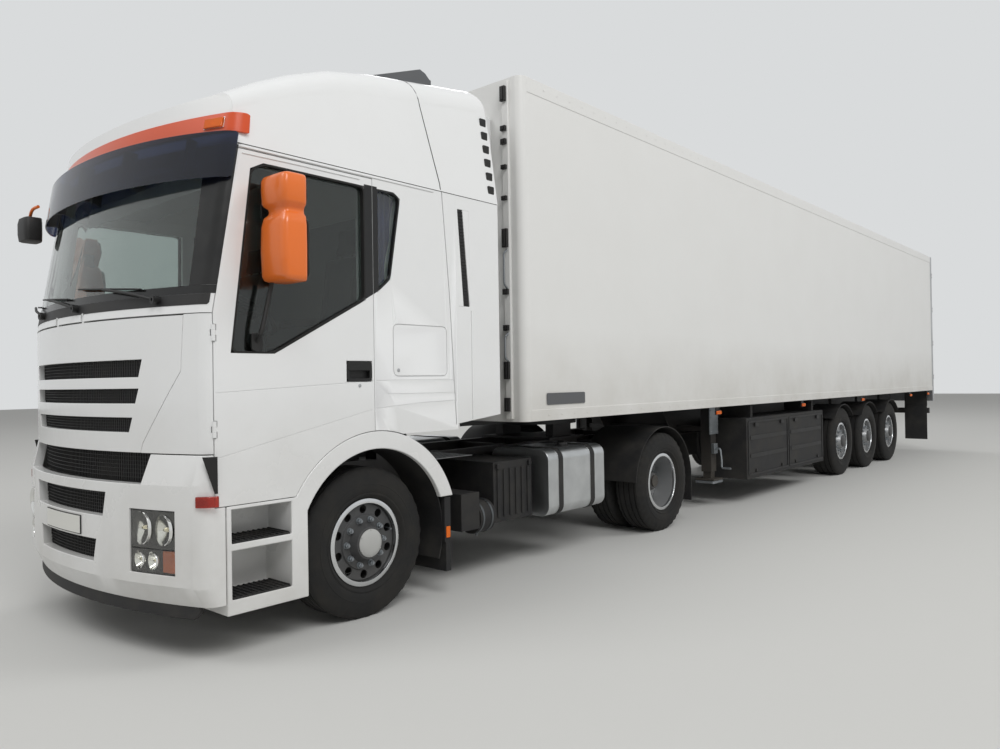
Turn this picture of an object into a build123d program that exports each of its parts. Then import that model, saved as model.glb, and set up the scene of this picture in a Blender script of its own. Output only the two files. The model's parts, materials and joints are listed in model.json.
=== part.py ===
from build123d import *
import math
import os

os.makedirs("parts", exist_ok=True)

# The vehicle faces -Y, its left side is +X, and the ground is Z = 0.
# Lengths along the road
front_overhang = 1450            # to the bumper's front
bumper_reach = 40                # bumper ahead of the panels above it
wheelbase = 3790
kingpin_lead = 600
nose_overhang = 1700
body_length = 13460
buffer_reach = 100
overall_length = front_overhang + wheelbase - kingpin_lead - nose_overhang + body_length + buffer_reach
front_axle_y = -overall_length / 2 + front_overhang
drive_axle_y = front_axle_y + wheelbase
kingpin_y = drive_axle_y - kingpin_lead
trailer_axle_pitch = 1310
first_trailer_axle = 6240        # behind the kingpin

# Widths and heights
cab_half = 1250
body_half = 1300
body_bottom = 1216
body_top = 3990
cab_floor = 1260
cab_floor_thickness = 60
waist_height = 1945              # top of the front flap
cab_top = 2910                   # seam between the cab and its high roof
cab_rear = 780                   # cab's rear wall, behind the front axle
gap = 5                          # shut lines
seat_gap = 0.3                   # between pieces that rest on one another

# The cab's nose is one wide arc in plan, and leans back above the waist
nose_radius = 3250
nose_front = bumper_reach - front_overhang     # from the front axle
nose_corner_radius = 100
lean = 170                       # how far the cab's top is set back
cab_wall = 85
nose_wall = 110
nose_panel = 45                  # depth of the flap and corner panels
nose_low = 1172                  # their lower edge
flap_top = waist_height - 2 * gap
flap_pivot = (nose_front + 25, waist_height + 45)
flap_arm_x = 200
flap_pin_radius = 7.7
flap_eye_radius = 14

# Tyres and wheels
tractor_tyre_radius = 495
tractor_tyre_width = 315
trailer_tyre_radius = 525
trailer_tyre_width = 385
bead_radius = 287
rim_flange_radius = 298.5
front_track = 2040
dual_inner_x = 738
dual_outer_x = 1083
trailer_track = 2035
spindle_radius = 60
steering_axis_x = 900
steering_eye_radius = 45
steering_eye_half = 60           # half of the eye's height
steering_pin_radius = 25
hand_holes = 10
hand_hole_circle = 215
hand_hole_radius = 28

# Ladder frame
frame_front = -1150
rail_outer = 430
rail_low = 680
rail_high = 950
rail_flange = 80
rail_wall = 10
frame_rear = 4690

# Planes whose own Y starts at the front axle or at the kingpin
tractor_side = Plane(origin=(0, front_axle_y, 0), x_dir=(0, 1, 0), z_dir=(1, 0, 0))
trailer_side = Plane(origin=(0, kingpin_y, 0), x_dir=(0, 1, 0), z_dir=(1, 0, 0))
tractor_plan = Plane(origin=(0, front_axle_y, 0))
trailer_plan = Plane(origin=(0, kingpin_y, 0))
tractor_front = Plane(origin=(0, front_axle_y, 0), x_dir=(1, 0, 0), z_dir=(0, -1, 0))


def slab(plane, points, low, high, mode=Mode.ADD):
    """Draws a closed outline on a plane and extrudes it between two distances from that plane."""
    with BuildSketch(plane.offset(low)) as outline:
        with BuildLine():
            Polyline(points, close=True)
        make_face()
    extrude(outline.sketch, amount=high - low, mode=mode)


def block(x, y, z, mode=Mode.ADD, origin_y=0.0):
    """A box between two values on each axis, with Y from the given origin."""
    with Locations(((x[0] + x[1]) / 2, origin_y + (y[0] + y[1]) / 2, (z[0] + z[1]) / 2)):
        Box(x[1] - x[0], y[1] - y[0], z[1] - z[0], mode=mode)


def rod(start, end, radius, mode=Mode.ADD):
    """A round bar between two points."""
    direction = Vector(*end) - Vector(*start)
    with BuildSketch(Plane(origin=start, z_dir=direction.normalized())) as section:
        Circle(radius)
    extrude(section.sketch, amount=direction.length, mode=mode)


def save(part, name):
    """Names a finished piece and writes its file."""
    part.label = name
    export_step(part, f"parts/{name}.step")


def cab_outline(height, set_back, front_inset=0.0, side_inset=0.0, rear_inset=0.0):
    """The cab's plan at one height: flat sides, and a nose that is part of a wide circle."""
    half = cab_half - side_inset
    radius = nose_radius - front_inset
    centre_y = nose_front + nose_radius + set_back
    corner_y = centre_y - math.sqrt(radius**2 - half**2)
    with BuildSketch(tractor_plan.offset(height)) as outline:
        with BuildLine():
            ThreePointArc((-half, corner_y), (0, centre_y - radius), (half, corner_y))
            Polyline((half, corner_y), (half, cab_rear - rear_inset), (-half, cab_rear - rear_inset), (-half, corner_y))
        make_face()
        corner = nose_corner_radius - max(front_inset, side_inset)
        if corner > 0:
            fillet(outline.vertices().group_by(Axis.Y)[0], radius=corner)
    return outline.sketch


def cab_volume(low, high, front_inset=0.0, side_inset=0.0, rear_inset=0.0):
    """The cab between two heights, upright below the waist and leaning back above it."""
    insets = (front_inset, side_inset, rear_inset)
    lean_rate = lean / (cab_top - waist_height)
    with BuildPart() as volume:
        if low < waist_height:
            extrude(cab_outline(low, 0, *insets), amount=min(high, waist_height) - low)
        if high > waist_height:
            start = max(low, waist_height)
            loft([
                cab_outline(start, (start - waist_height) * lean_rate, *insets),
                cab_outline(high, (high - waist_height) * lean_rate, *insets),
            ], ruled=True)
    return volume.part


# Doors: the front edge leans with the nose, the lower rear corner follows the wheel arch
door_front = -1120
door_rear = 0
door_bottom = 880
door_top = 2880
door_thickness = 55
arch_centre = (20, 500)
arch_lip_radius = 615
arch_seam_radius = 730
door_lean_top = door_front + lean * (door_top - waist_height) / (cab_top - waist_height)
sill_rear = arch_centre[0] - math.sqrt((arch_seam_radius + gap)**2 - (door_bottom - arch_centre[1])**2)
arch_meets_door = arch_centre[1] + math.sqrt((arch_seam_radius + gap)**2 - arch_centre[0]**2)
door_arch_mid = (arch_centre[0] - (arch_seam_radius + gap) * math.sin(math.radians(30)),
                 arch_centre[1] + (arch_seam_radius + gap) * math.cos(math.radians(30)))
window = [(-1020, 1725), (-885, 2780), (-800, 2825), (-60, 2825), (-60, 2085), (-740, 1725)]
quarter_light = [(35, 2140), (150, 2235), (245, 2790), (190, 2825), (35, 2825)]


def door_prism(low, high, grow=0.0):
    """The door's outline in side view, extruded between two distances from the centre line."""
    with BuildPart() as prism:
        with BuildSketch(tractor_side.offset(low)):
            with BuildLine():
                Line((door_rear, arch_meets_door), (door_rear, door_top))
                Polyline((door_rear, door_top), (door_lean_top, door_top), (door_front, waist_height),
                         (door_front, door_bottom), (sill_rear, door_bottom))
                ThreePointArc((sill_rear, door_bottom), door_arch_mid, (door_rear, arch_meets_door))
            make_face()
            if grow:
                offset(amount=grow, kind=Kind.INTERSECTION)
        extrude(amount=high - low)
    return prism.part


def nose_skin(low, high, outer_inset, inner_inset, rear_y, half=cab_half + 200):
    """A curved panel that follows the nose, between two depths below the cab's surface."""
    with BuildPart() as skin:
        add(cab_volume(low, high, outer_inset, outer_inset))
        add(cab_volume(low, high, inner_inset, inner_inset), mode=Mode.SUBTRACT)
        block((-half, half), (nose_front - 200, rear_y), (low, high), Mode.INTERSECT, front_axle_y)
    return skin.part


def nose_piece(x, z, outer_inset, inner_inset):
    """The part of the nose's skin between two distances from the centre line."""
    with BuildPart() as piece:
        add(nose_skin(*z, outer_inset, inner_inset, door_front))
        block(sorted(x), (nose_front - 200, door_front), z, Mode.INTERSECT, front_axle_y)
    return piece.part


# Door hinges: barrels on a pin at the door's front edge, between the outer and inner knuckles
door_hinge = (cab_half - 4, door_front)
hinge_radius = 12
hinge_pin_radius = 6
hinge_knuckle = 30
door_hinge_z = [1260, 1790]


def barrels(centre, starts, length, radius, mode=Mode.ADD):
    """Upright round lengths at one place, each starting at a height."""
    for start in starts:
        rod((*centre, start), (*centre, start + length), radius, mode)


def door_hinge_place(side=1):
    """The door hinge's axis in plan, in the model's frame."""
    return (side * door_hinge[0], front_axle_y + door_hinge[1])


def flap_bar(x, half, radius, mode=Mode.ADD):
    """A short round bar on the flap's hinge axis."""
    y = front_axle_y + flap_pivot[0]
    rod((x - half, y, flap_pivot[1]), (x + half, y, flap_pivot[1]), radius, mode)


# Cab shell: floor, walls, pillars and step wells
screen_low = waist_height + 117
screen_high = 2850
screen_outline = [(-1185, screen_low), (1185, screen_low), (1140, screen_high), (-1140, screen_high)]
screen_opening = [(-1130, screen_low + 28), (1130, screen_low + 28), (1100, screen_high - 25),
                  (-1100, screen_high - 25)]
screen_thickness = 8
screen_rear = -900


def screen_plate(outer_inset, inner_inset):
    """The windscreen's outline cut from the nose, between two depths."""
    with BuildPart() as plate:
        add(nose_skin(screen_low - 30, cab_top, outer_inset, inner_inset, screen_rear))
        slab(tractor_front, screen_outline, -screen_rear - 100, -nose_front + 100, Mode.INTERSECT)
    return plate.part


well_x = (800, 1187)
well_y = (-1085, -620)
well_wall = 20
with BuildPart() as cab_shell:
    add(cab_volume(cab_floor - cab_floor_thickness, cab_top))
    add(nose_skin(cab_floor - cab_floor_thickness, waist_height, 0, nose_panel + gap, door_front), mode=Mode.SUBTRACT)
    add(cab_volume(cab_floor, cab_top, nose_wall, cab_wall, 60), mode=Mode.SUBTRACT)
    add(screen_plate(0, screen_thickness + seat_gap), mode=Mode.SUBTRACT)
    slab(tractor_front, screen_opening, 800, -nose_front + 100, Mode.SUBTRACT)
    for side in (1, -1):
        prism = door_prism(side * (cab_half + 20), side * (cab_half - door_thickness - gap), gap)
        add(prism, mode=Mode.SUBTRACT)
        add(door_prism(side * (cab_half + 20), side * (cab_half - 120), -70), mode=Mode.SUBTRACT)
        slab(tractor_side, quarter_light, side * (cab_half - 120), side * (cab_half + 20), Mode.SUBTRACT)
        with BuildSketch(tractor_side.offset(side * (cab_half + 20))) as arch:
            with Locations(arch_centre):
                Circle(arch_seam_radius + gap)
        extrude(arch.sketch, amount=-side * 65, mode=Mode.SUBTRACT)
    block(well_x, well_y, (door_bottom, cab_floor - cab_floor_thickness), origin_y=front_axle_y)
    block((well_x[0] + well_wall, well_x[1]), (well_y[0] + well_wall, well_y[1] - well_wall),
          (door_bottom + well_wall, cab_floor), Mode.SUBTRACT, front_axle_y)
    block((-well_x[1], -well_x[0]), well_y, (door_bottom, cab_floor - cab_floor_thickness), origin_y=front_axle_y)
    block((-well_x[1], -well_x[0] - well_wall), (well_y[0] + well_wall, well_y[1] - well_wall),
          (door_bottom + well_wall, cab_floor), Mode.SUBTRACT, front_axle_y)
    # Notches for the flap's two arms, each with its pin
    for x in (-flap_arm_x, flap_arm_x):
        block((x - 22, x + 22), (nose_front - 10, flap_pivot[0] + 22), (waist_height - 1, flap_pivot[1] + 22),
              Mode.SUBTRACT, front_axle_y)
        flap_bar(x, 27, flap_pin_radius)
save(cab_shell.part, "cab_shell")

# Windscreen and quarter lights
with BuildPart() as cab_glass:
    add(screen_plate(seat_gap, screen_thickness))
    slab(tractor_side, quarter_light, cab_half - 30, cab_half - 25)
    slab(tractor_side, quarter_light, -cab_half + 25, -cab_half + 30)
save(cab_glass.part, "cab_glass")

# High roof, one loft over the cab that runs back into the fairing, with its spoiler
roof_wall = 30
fairing_rear = 1250
fairing_radius = 2270            # about the kingpin, clear of the trailer's swing
roof_crown = 60
roof_stations = [
    # y, top height, corner radius
    (-1350, 3100, 90),
    (-1000, 3270, 120),
    (-750, 3415, 150),
    (-500, 3540, 175),
    (-200, 3660, 195),
    (150, 3745, 210),
    (600, 3820, 225),
    (1250, 3920, 230),
]


def roof_section(y, top, corner, inset):
    """The roof's section across the vehicle at one station."""
    half_low = cab_half - inset
    half_high = cab_half - 0.10 * (top - cab_top) - inset
    shoulder = top - roof_crown - inset
    corner = corner - inset / 2
    bend = corner * math.sqrt(0.5)
    with BuildSketch(tractor_front.offset(-y)) as section:
        with BuildLine():
            Polyline((-half_high, shoulder - corner), (-half_low, cab_top), (half_low, cab_top),
                     (half_high, shoulder - corner))
            ThreePointArc((half_high, shoulder - corner),
                          (half_high - corner + bend, shoulder - corner + bend),
                          (half_high - corner, shoulder))
            ThreePointArc((half_high - corner, shoulder), (0, top - inset), (-half_high + corner, shoulder))
            ThreePointArc((-half_high + corner, shoulder),
                          (-half_high + corner - bend, shoulder - corner + bend),
                          (-half_high, shoulder - corner))
        make_face()
    return section.sketch


def roof_volume(inset):
    """The high roof and fairing as one solid, drawn inset for its inside."""
    with BuildPart() as volume:
        loft([roof_section(*station, inset) for station in roof_stations], ruled=True)
        add(cab_volume(cab_top, 4000, inset, inset, cab_rear - fairing_rear), mode=Mode.INTERSECT)
    return volume.part


outer_roof = roof_volume(0)
with BuildPart() as bulkhead:
    add(outer_roof)
    block((-cab_half, cab_half), (cab_rear - 40, cab_rear), (cab_top, 4000), Mode.INTERSECT, front_axle_y)
with BuildPart() as cab_roof:
    add(outer_roof)
    add(roof_volume(roof_wall), mode=Mode.SUBTRACT)
    add(bulkhead.part)
    with Locations((0, kingpin_y, cab_top + 600)):
        Cylinder(fairing_radius, 1300, mode=Mode.SUBTRACT)
    slab(tractor_side, [(350, 3770), (930, 3990), (930, 3960), (420, 3770)], -860, 860)
    for side in (1, -1):
        slab(tractor_side, [(350, 3730), (350, 3770), (930, 3990), (930, 3780)], side * 840, side * 860)
save(cab_roof.part, "cab_roof")

# Sun visor: a dark band ahead of the windscreen's top
visor_reach = 100
visor_low = 2680
visor_high = 2965
with BuildPart() as sun_visor:
    add(nose_skin(visor_low, visor_high, -visor_reach, -visor_reach + 10, -850, 1150))
    add(nose_skin(visor_high - 12, visor_high, -visor_reach, -seat_gap, -900, 1100))
save(sun_visor.part, "sun_visor")

# Front flap with its grille slots, hinged at its top edge on two arms
flap_outline = [(-1100, flap_top), (1100, flap_top), (1080, 1630), (800, 1230), (780, nose_low),
                (-780, nose_low), (-800, 1230), (-1080, 1630)]
flap_thickness = 40
slot_slant = 30
flap_slots = [
    # half width at the top, low, high
    (800, 1600, 1700),
    (770, 1450, 1535),
    (715, 1285, 1370),
]


def slot(half, low, high, mode=Mode.SUBTRACT):
    """A slot through the front whose ends slant in towards its lower edge."""
    slab(tractor_front, [(slot_slant - half, low), (half - slot_slant, low), (half, high), (-half, high)],
         900, -nose_front + 100, mode)


with BuildPart() as front_flap:
    add(nose_skin(nose_low, flap_top, 0, flap_thickness, -1000))
    slab(tractor_front, flap_outline, 900, -nose_front + 100, Mode.INTERSECT)
    for row in flap_slots:
        slot(*row)
    for x in (-flap_arm_x, flap_arm_x):
        block((x - 12, x + 12), (flap_pivot[0] - 9, flap_pivot[0] + 9), (flap_top - 20, flap_pivot[1]),
              origin_y=front_axle_y)
        flap_bar(x, 12, flap_eye_radius)
        flap_bar(x, 13, flap_pin_radius + seat_gap, Mode.SUBTRACT)
save(front_flap.part, "front_flap")

# Corner panels between the flap and the doors
with BuildPart() as corner_panels:
    add(nose_skin(nose_low, waist_height - gap, 0, nose_panel + gap - seat_gap, door_front - gap))
    with BuildSketch(tractor_front.offset(900)) as flap_cut:
        with BuildLine():
            Polyline(flap_outline, close=True)
        make_face()
        offset(amount=gap, kind=Kind.INTERSECTION)
    extrude(flap_cut.sketch, amount=600, mode=Mode.SUBTRACT)
    # Outer knuckles and pins of the door hinges
    for side in (1, -1):
        for z in door_hinge_z:
            barrels(door_hinge_place(side), [z + hinge_knuckle - gap / 2], hinge_knuckle + gap, hinge_radius + gap,
                    Mode.SUBTRACT)
            barrels(door_hinge_place(side), [z, z + 2 * hinge_knuckle], hinge_knuckle, hinge_radius)
            barrels(door_hinge_place(side), [z], 3 * hinge_knuckle, hinge_pin_radius)
save(corner_panels.part, "corner_panels")

# Bumper, with lamp apertures and intake slots: it stands ahead of the flap and tucks in below
bumper_thickness = 60
bumper_rear = -1062
bumper_profile = [
    # height, reach ahead of the nose
    (335, -15),
    (450, bumper_reach),
    (1000, bumper_reach),
    (1165, 0),
]
bumper_low = bumper_profile[0][0]
bumper_top = bumper_profile[-1][0]
lamp_x = (742, 1078)
lamp_z = (508, 862)
bumper_slots = [
    # half width at the top, low, high
    (865, 1000, 1200),
    (530, 800, 940),
    (430, 530, 660),
]


def bumper_volume(inset):
    """The bumper's outside as one solid, drawn inset for its back."""
    with BuildPart() as volume:
        for (low, low_reach), (high, high_reach) in zip(bumper_profile, bumper_profile[1:]):
            loft([cab_outline(low, 0, inset - low_reach, inset), cab_outline(high, 0, inset - high_reach, inset)],
                 ruled=True)
    return volume.part


with BuildPart() as front_bumper:
    add(bumper_volume(0))
    add(bumper_volume(bumper_thickness), mode=Mode.SUBTRACT)
    block((-cab_half - 100, cab_half + 100), (-front_overhang - 200, bumper_rear), (bumper_low, bumper_top),
          Mode.INTERSECT, front_axle_y)
    for row in bumper_slots:
        slot(*row)
    for side in (1, -1):
        block(sorted((side * lamp_x[0], side * lamp_x[1])), (-front_overhang, -1000), lamp_z, Mode.SUBTRACT,
              front_axle_y)
        block(sorted((side * (rail_outer - 70), side * rail_outer)), (-front_overhang + 80, frame_front), (700, 790),
              origin_y=front_axle_y)
    block((-cab_half - 100, cab_half + 100), (door_front - gap, bumper_rear + 50), (door_bottom - gap, bumper_top + 50),
          Mode.SUBTRACT, front_axle_y)
save(front_bumper.part, "front_bumper")

# Headlamps fill the bumper's apertures
lamp_inset = 4
with BuildPart() as headlamps:
    for side in (1, -1):
        add(nose_piece((side * (lamp_x[0] + seat_gap), side * (lamp_x[1] - seat_gap)),
                       (lamp_z[0] + seat_gap, lamp_z[1] - seat_gap),
                       lamp_inset - bumper_reach, bumper_thickness - bumper_reach))
save(headlamps.part, "headlamps")

# Entry steps: a housing with two open treads ahead of the front wheel, and the white arch lip
step_front = -1055
step_inner = 950
steps = [
    # tread height, opening height, depth from the side
    (665, 190, 250),
    (355, 270, 280),
]
step_bottom = 270
lip_depth = 40


def arch_lip():
    """The white trim round the wheel arch, ahead of the door's sill and up over the wheel."""
    with BuildPart() as lip:
        with BuildSketch(tractor_side.offset(cab_half - lip_depth)):
            with Locations(arch_centre):
                Circle(arch_seam_radius)
                Circle(arch_lip_radius, mode=Mode.SUBTRACT)
            with BuildLine():
                Polyline((-560, door_bottom - 150), (760, door_bottom - 150), (760, 1300), (-800, 1300),
                         (-800, door_bottom - gap - 20), (-560, door_bottom - gap - 20), close=True)
            make_face(mode=Mode.INTERSECT)
        extrude(amount=lip_depth)
    return lip.part


with BuildPart() as entry_steps:
    with BuildSketch(tractor_plan.offset(step_bottom)):
        with BuildLine():
            Polyline((step_inner, step_front), (cab_half, step_front), (cab_half, -525), (step_inner, -620), close=True)
        make_face()
    extrude(amount=door_bottom - gap - step_bottom)
    for tread, opening, depth in steps:
        block((cab_half - depth, cab_half + 10), (step_front + 30, -640), (tread, tread + opening), Mode.SUBTRACT,
              front_axle_y)
    add(arch_lip())
    block((rail_outer, step_inner + 10), (step_front + 40, step_front + 90), (700, 760), origin_y=front_axle_y)
    mirror(about=Plane.YZ)
save(entry_steps.part, "entry_steps")

# Doors, their glass and the two-lens mirrors that ride on them
glass_offset = 28
glass_thickness = 5
pull_y = (-224, -16)
pull_z = (waist_height - 390, waist_height - 255)
pull_bar_z = (waist_height - 310, waist_height - 280)


def window_prism(grow, low, high):
    """The door window's outline between two distances from the centre line."""
    with BuildPart() as prism:
        with BuildSketch(tractor_side.offset(low)):
            with BuildLine():
                Polyline(window, close=True)
            make_face()
            if grow:
                offset(amount=grow, kind=Kind.INTERSECTION)
        extrude(amount=high - low)
    return prism.part


with BuildPart() as door_left:
    add(cab_volume(door_bottom, cab_top))
    add(door_prism(cab_half - door_thickness, cab_half + 20), mode=Mode.INTERSECT)
    add(window_prism(0, cab_half - 90, cab_half + 20), mode=Mode.SUBTRACT)
    # Recess with its pull bar
    block((cab_half - 30, cab_half + 5), pull_y, pull_z, Mode.SUBTRACT, front_axle_y)
    block((cab_half - 18, cab_half - 2), pull_y, pull_bar_z, origin_y=front_axle_y)
    # Middle knuckles of the hinges, bored for the pins
    for z in door_hinge_z:
        barrels(door_hinge_place(), [z - gap / 2, z + 2 * hinge_knuckle - gap / 2], hinge_knuckle + gap,
                hinge_radius + gap, Mode.SUBTRACT)
        barrels(door_hinge_place(), [z + hinge_knuckle + seat_gap], hinge_knuckle - 2 * seat_gap, hinge_radius)
        barrels(door_hinge_place(), [z - gap], 3 * hinge_knuckle + 2 * gap, hinge_pin_radius + seat_gap, Mode.SUBTRACT)
save(door_left.part, "door_left")
with BuildPart() as door_right:
    mirror(door_left.part, about=Plane.YZ)
save(door_right.part, "door_right")

with BuildPart() as door_glass_left:
    add(window_prism(0, cab_half - glass_offset - glass_thickness, cab_half - glass_offset))
save(door_glass_left.part, "door_glass_left")
with BuildPart() as door_glass_right:
    mirror(door_glass_left.part, about=Plane.YZ)
save(door_glass_right.part, "door_glass_right")

with BuildPart() as mirror_left:
    with BuildSketch(tractor_front.offset(672)) as upper:
        with BuildLine():
            Polyline((1285, 2130), (1290, 2490), (1300, 2600), (1310, 2730), (1525, 2715), (1530, 2130), close=True)
        make_face()
        fillet(upper.vertices(), radius=25)
    extrude(amount=143)
    fillet(mirror_left.faces().sort_by(Axis.Y)[0].edges(), radius=20)
    slab(tractor_side, [(-815, 2520), (-760, 2520), (-900, 2770), (-930, 2770)], cab_half + seat_gap, 1330)
    slab(tractor_side, [(-800, 2180), (-740, 2180), (-850, 1700), (-920, 1700)], cab_half + seat_gap, 1330)
save(mirror_left.part, "mirror_left")
with BuildPart() as mirror_right:
    mirror(mirror_left.part, about=Plane.YZ)
save(mirror_right.part, "mirror_right")

# Front wheel liners
liner_inner = 620
liner_wall = 12
liner_x = (880, cab_half - 45)
with BuildPart() as front_mudguards:
    with BuildSketch(tractor_side.offset(liner_x[0])):
        with BuildLine():
            CenterArc(arch_centre, liner_inner, -20, 160)
            CenterArc(arch_centre, liner_inner + liner_wall, -20, 160)
            Line(PolarLine(arch_centre, liner_inner, -20, mode=Mode.PRIVATE) @ 1,
                 PolarLine(arch_centre, liner_inner + liner_wall, -20, mode=Mode.PRIVATE) @ 1)
            Line(PolarLine(arch_centre, liner_inner, 140, mode=Mode.PRIVATE) @ 1,
                 PolarLine(arch_centre, liner_inner + liner_wall, 140, mode=Mode.PRIVATE) @ 1)
        make_face()
    extrude(amount=liner_x[1] - liner_x[0])
    block((liner_x[0], cab_half - 15), (650, 700), (190, 400), origin_y=front_axle_y)
    block((liner_x[0], cab_half - 15), (640, 700), (400, 720), origin_y=front_axle_y)
    block((rail_outer, liner_x[0] + 5), (655, 690), (690, 715), origin_y=front_axle_y)
    mirror(about=Plane.YZ)
save(front_mudguards.part, "front_mudguards")

# Side fairings behind the cab
fairing_wall = 25
with BuildPart() as side_fairings:
    slab(tractor_side, [(cab_rear + seat_gap, 1240), (fairing_rear, 1290), (fairing_rear, cab_top - seat_gap),
                        (cab_rear + seat_gap, cab_top - seat_gap)], cab_half - fairing_wall, cab_half)
    slab(tractor_side, [(cab_rear + 20, 2100), (920, 2100), (920, 2810), (cab_rear + 20, 2810)],
         cab_half - 12, cab_half + 5, Mode.SUBTRACT)
    for z in (1500, 2500):
        block((cab_half - 300, cab_half - fairing_wall), (cab_rear + seat_gap, cab_rear + 60), (z, z + 60),
              origin_y=front_axle_y)
    mirror(about=Plane.YZ)
save(side_fairings.part, "side_fairings")

# Dashboard with the steering wheel, seats and bunk
dash_half = 1120
driver_x = 620
wheel_tilt = 35
wheel_centre = (driver_x, front_axle_y - 560, 2010)
with BuildPart() as dashboard:
    slab(tractor_side, [(-1065, cab_floor), (-1065, 1990), (-930, 1990), (-760, 1900), (-740, 1640), (-900, 1400),
                        (-960, cab_floor)], -dash_half, dash_half)
    steering = Plane(origin=wheel_centre, x_dir=(1, 0, 0),
                     z_dir=(0, math.cos(math.radians(90 - wheel_tilt)), math.sin(math.radians(90 - wheel_tilt))))
    with Locations(steering.location):
        Torus(215, 15)
    with BuildSketch(steering.offset(-10)) as hub:
        Circle(45)
        Rectangle(430, 40)
    extrude(hub.sketch, amount=20)
    with BuildSketch(steering) as column:
        Circle(35)
    extrude(column.sketch, amount=-330)
save(dashboard.part, "dashboard")

seat_x = 620
with BuildPart() as seats:
    for side in (1, -1):
        middle = side * seat_x
        slab(tractor_side, [(-300, 1640), (-320, 1770), (180, 1740), (215, 1650)], middle - 260, middle + 260)
        slab(tractor_side, [(110, 1750), (215, 1700), (330, 2480), (240, 2490)], middle - 240, middle + 240)
        slab(tractor_side, [(245, 2470), (325, 2465), (345, 2700), (275, 2710)], middle - 130, middle + 130)
        block((side * seat_x - 190, side * seat_x + 190), (-230, 170), (cab_floor, 1645), origin_y=front_axle_y)
    # Bunk behind the seats
    block((-1150, 1150), (360, cab_rear - 60), (1730, 1880), origin_y=front_axle_y)
    block((-1150, 1150), (380, cab_rear - 60), (cab_floor, 1730), origin_y=front_axle_y)
save(seats.part, "seats")

# Ladder frame: two channel rails and their cross members
cross_members = [-1130, 1600, 2500, 3250, 4560]
with BuildPart() as tractor_frame:
    for side in (1, -1):
        outer = side * rail_outer
        inner = side * (rail_outer - rail_flange)
        web = side * (rail_outer - rail_wall)
        with BuildSketch(tractor_front.offset(-frame_rear)) as channel:
            with BuildLine():
                Polyline((inner, rail_low), (outer, rail_low), (outer, rail_high), (inner, rail_high),
                         (inner, rail_high - rail_wall), (web, rail_high - rail_wall), (web, rail_low + rail_wall),
                         (inner, rail_low + rail_wall), close=True)
            make_face()
        extrude(channel.sketch, amount=frame_rear - frame_front)
    for y in cross_members:
        block((-rail_outer + rail_wall, rail_outer - rail_wall), (y - 20, y + 20), (rail_low + 20, rail_high - 20),
              origin_y=front_axle_y)
    # Cab mounts and the coupling's sub frame
    for side in (1, -1):
        block(sorted((side * (rail_outer - 70), side * (rail_outer + 60))), (-1000, -900),
              (rail_high, cab_floor - cab_floor_thickness), origin_y=front_axle_y)
        block(sorted((side * (rail_outer - 70), side * (rail_outer + 60))), (640, 740),
              (rail_high, cab_floor - cab_floor_thickness), origin_y=front_axle_y)
save(tractor_frame.part, "tractor_frame")

# Engine and gearbox as one plain block between the rails
with BuildPart() as engine:
    block((-330, 330), (-700, 600), (500, 1150), origin_y=front_axle_y)
    block((-220, 220), (600, 1500), (520, 900), origin_y=front_axle_y)
    block((-345, 345), (-960, -700), (470, 1180), origin_y=front_axle_y)
    for y in (-460, 340):
        block((-rail_outer + rail_wall + seat_gap, rail_outer - rail_wall - seat_gap), (y - 40, y + 40),
              (rail_low + rail_wall + seat_gap, 760), origin_y=front_axle_y)
save(engine.part, "engine")

# Fuel tank, air tank and boxes beside the frame
with BuildPart() as side_tanks:
    with BuildSketch(tractor_front.offset(-2710)) as tank:
        with Locations((900, 680)):
            RectangleRounded(640, 560, 90)
    extrude(tank.sketch, amount=830)
    for y in (2050, 2520):
        with BuildSketch(tractor_front.offset(-y - 30)) as strap:
            with Locations((900, 680)):
                RectangleRounded(652, 572, 96)
        extrude(strap.sketch, amount=60)
    for y in (2050, 2520):
        block((rail_outer, 590), (y - 30, y + 30), (700, 900), origin_y=front_axle_y)
    rod((1020, front_axle_y + 1120, 490), (1020, front_axle_y + 1290, 490), 130)
    block((rail_outer, 1100), (1320, 1800), (420, 900), origin_y=front_axle_y)
    block((rail_outer, 1150), (900, 1100), (420, 700), origin_y=front_axle_y)
    block((rail_outer, 1020), (1100, 1320), (470, 510), origin_y=front_axle_y)
    mirror(about=Plane.YZ)
save(side_tanks.part, "side_tanks")

# Front axle: a dropped beam on leaf springs, with an eye at each end for the steering pin
tractor_wheel_z = tractor_tyre_radius
beam_half = steering_axis_x - 30
beam_low = 330
beam_high = 430
beam_end_low = tractor_wheel_z - 45
beam_end_high = tractor_wheel_z + 45
with BuildPart() as front_axle:
    with BuildSketch(tractor_front.offset(-55)) as beam:
        with BuildLine():
            Polyline((-beam_half, beam_end_low), (-beam_half, beam_end_high), (-700, beam_end_high), (-560, beam_high),
                     (560, beam_high), (700, beam_end_high), (beam_half, beam_end_high), (beam_half, beam_end_low),
                     (700, beam_end_low), (580, beam_low), (-580, beam_low), (-700, beam_end_low), close=True)
        make_face()
    extrude(beam.sketch, amount=110)
    for side in (1, -1):
        with Locations((side * steering_axis_x, front_axle_y, tractor_wheel_z)):
            Cylinder(steering_eye_radius, 2 * steering_eye_half)
            Cylinder(steering_pin_radius + seat_gap, 2 * steering_eye_half, mode=Mode.SUBTRACT)
    for side in (1, -1):
        slab(tractor_side, [(-850, 640), (-500, 490), (-60, beam_high + 20), (60, beam_high + 20), (500, 490),
                            (850, 640), (850, 605), (500, 450), (60, beam_high), (-60, beam_high), (-500, 450),
                            (-850, 605)], side * 390 - 40, side * 390 + 40)
        for y in (-850, 830):
            block((side * 390 - 40, side * 390 + 40), (y, y + 40), (600, rail_low), origin_y=front_axle_y)
save(front_axle.part, "front_axle")

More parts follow.
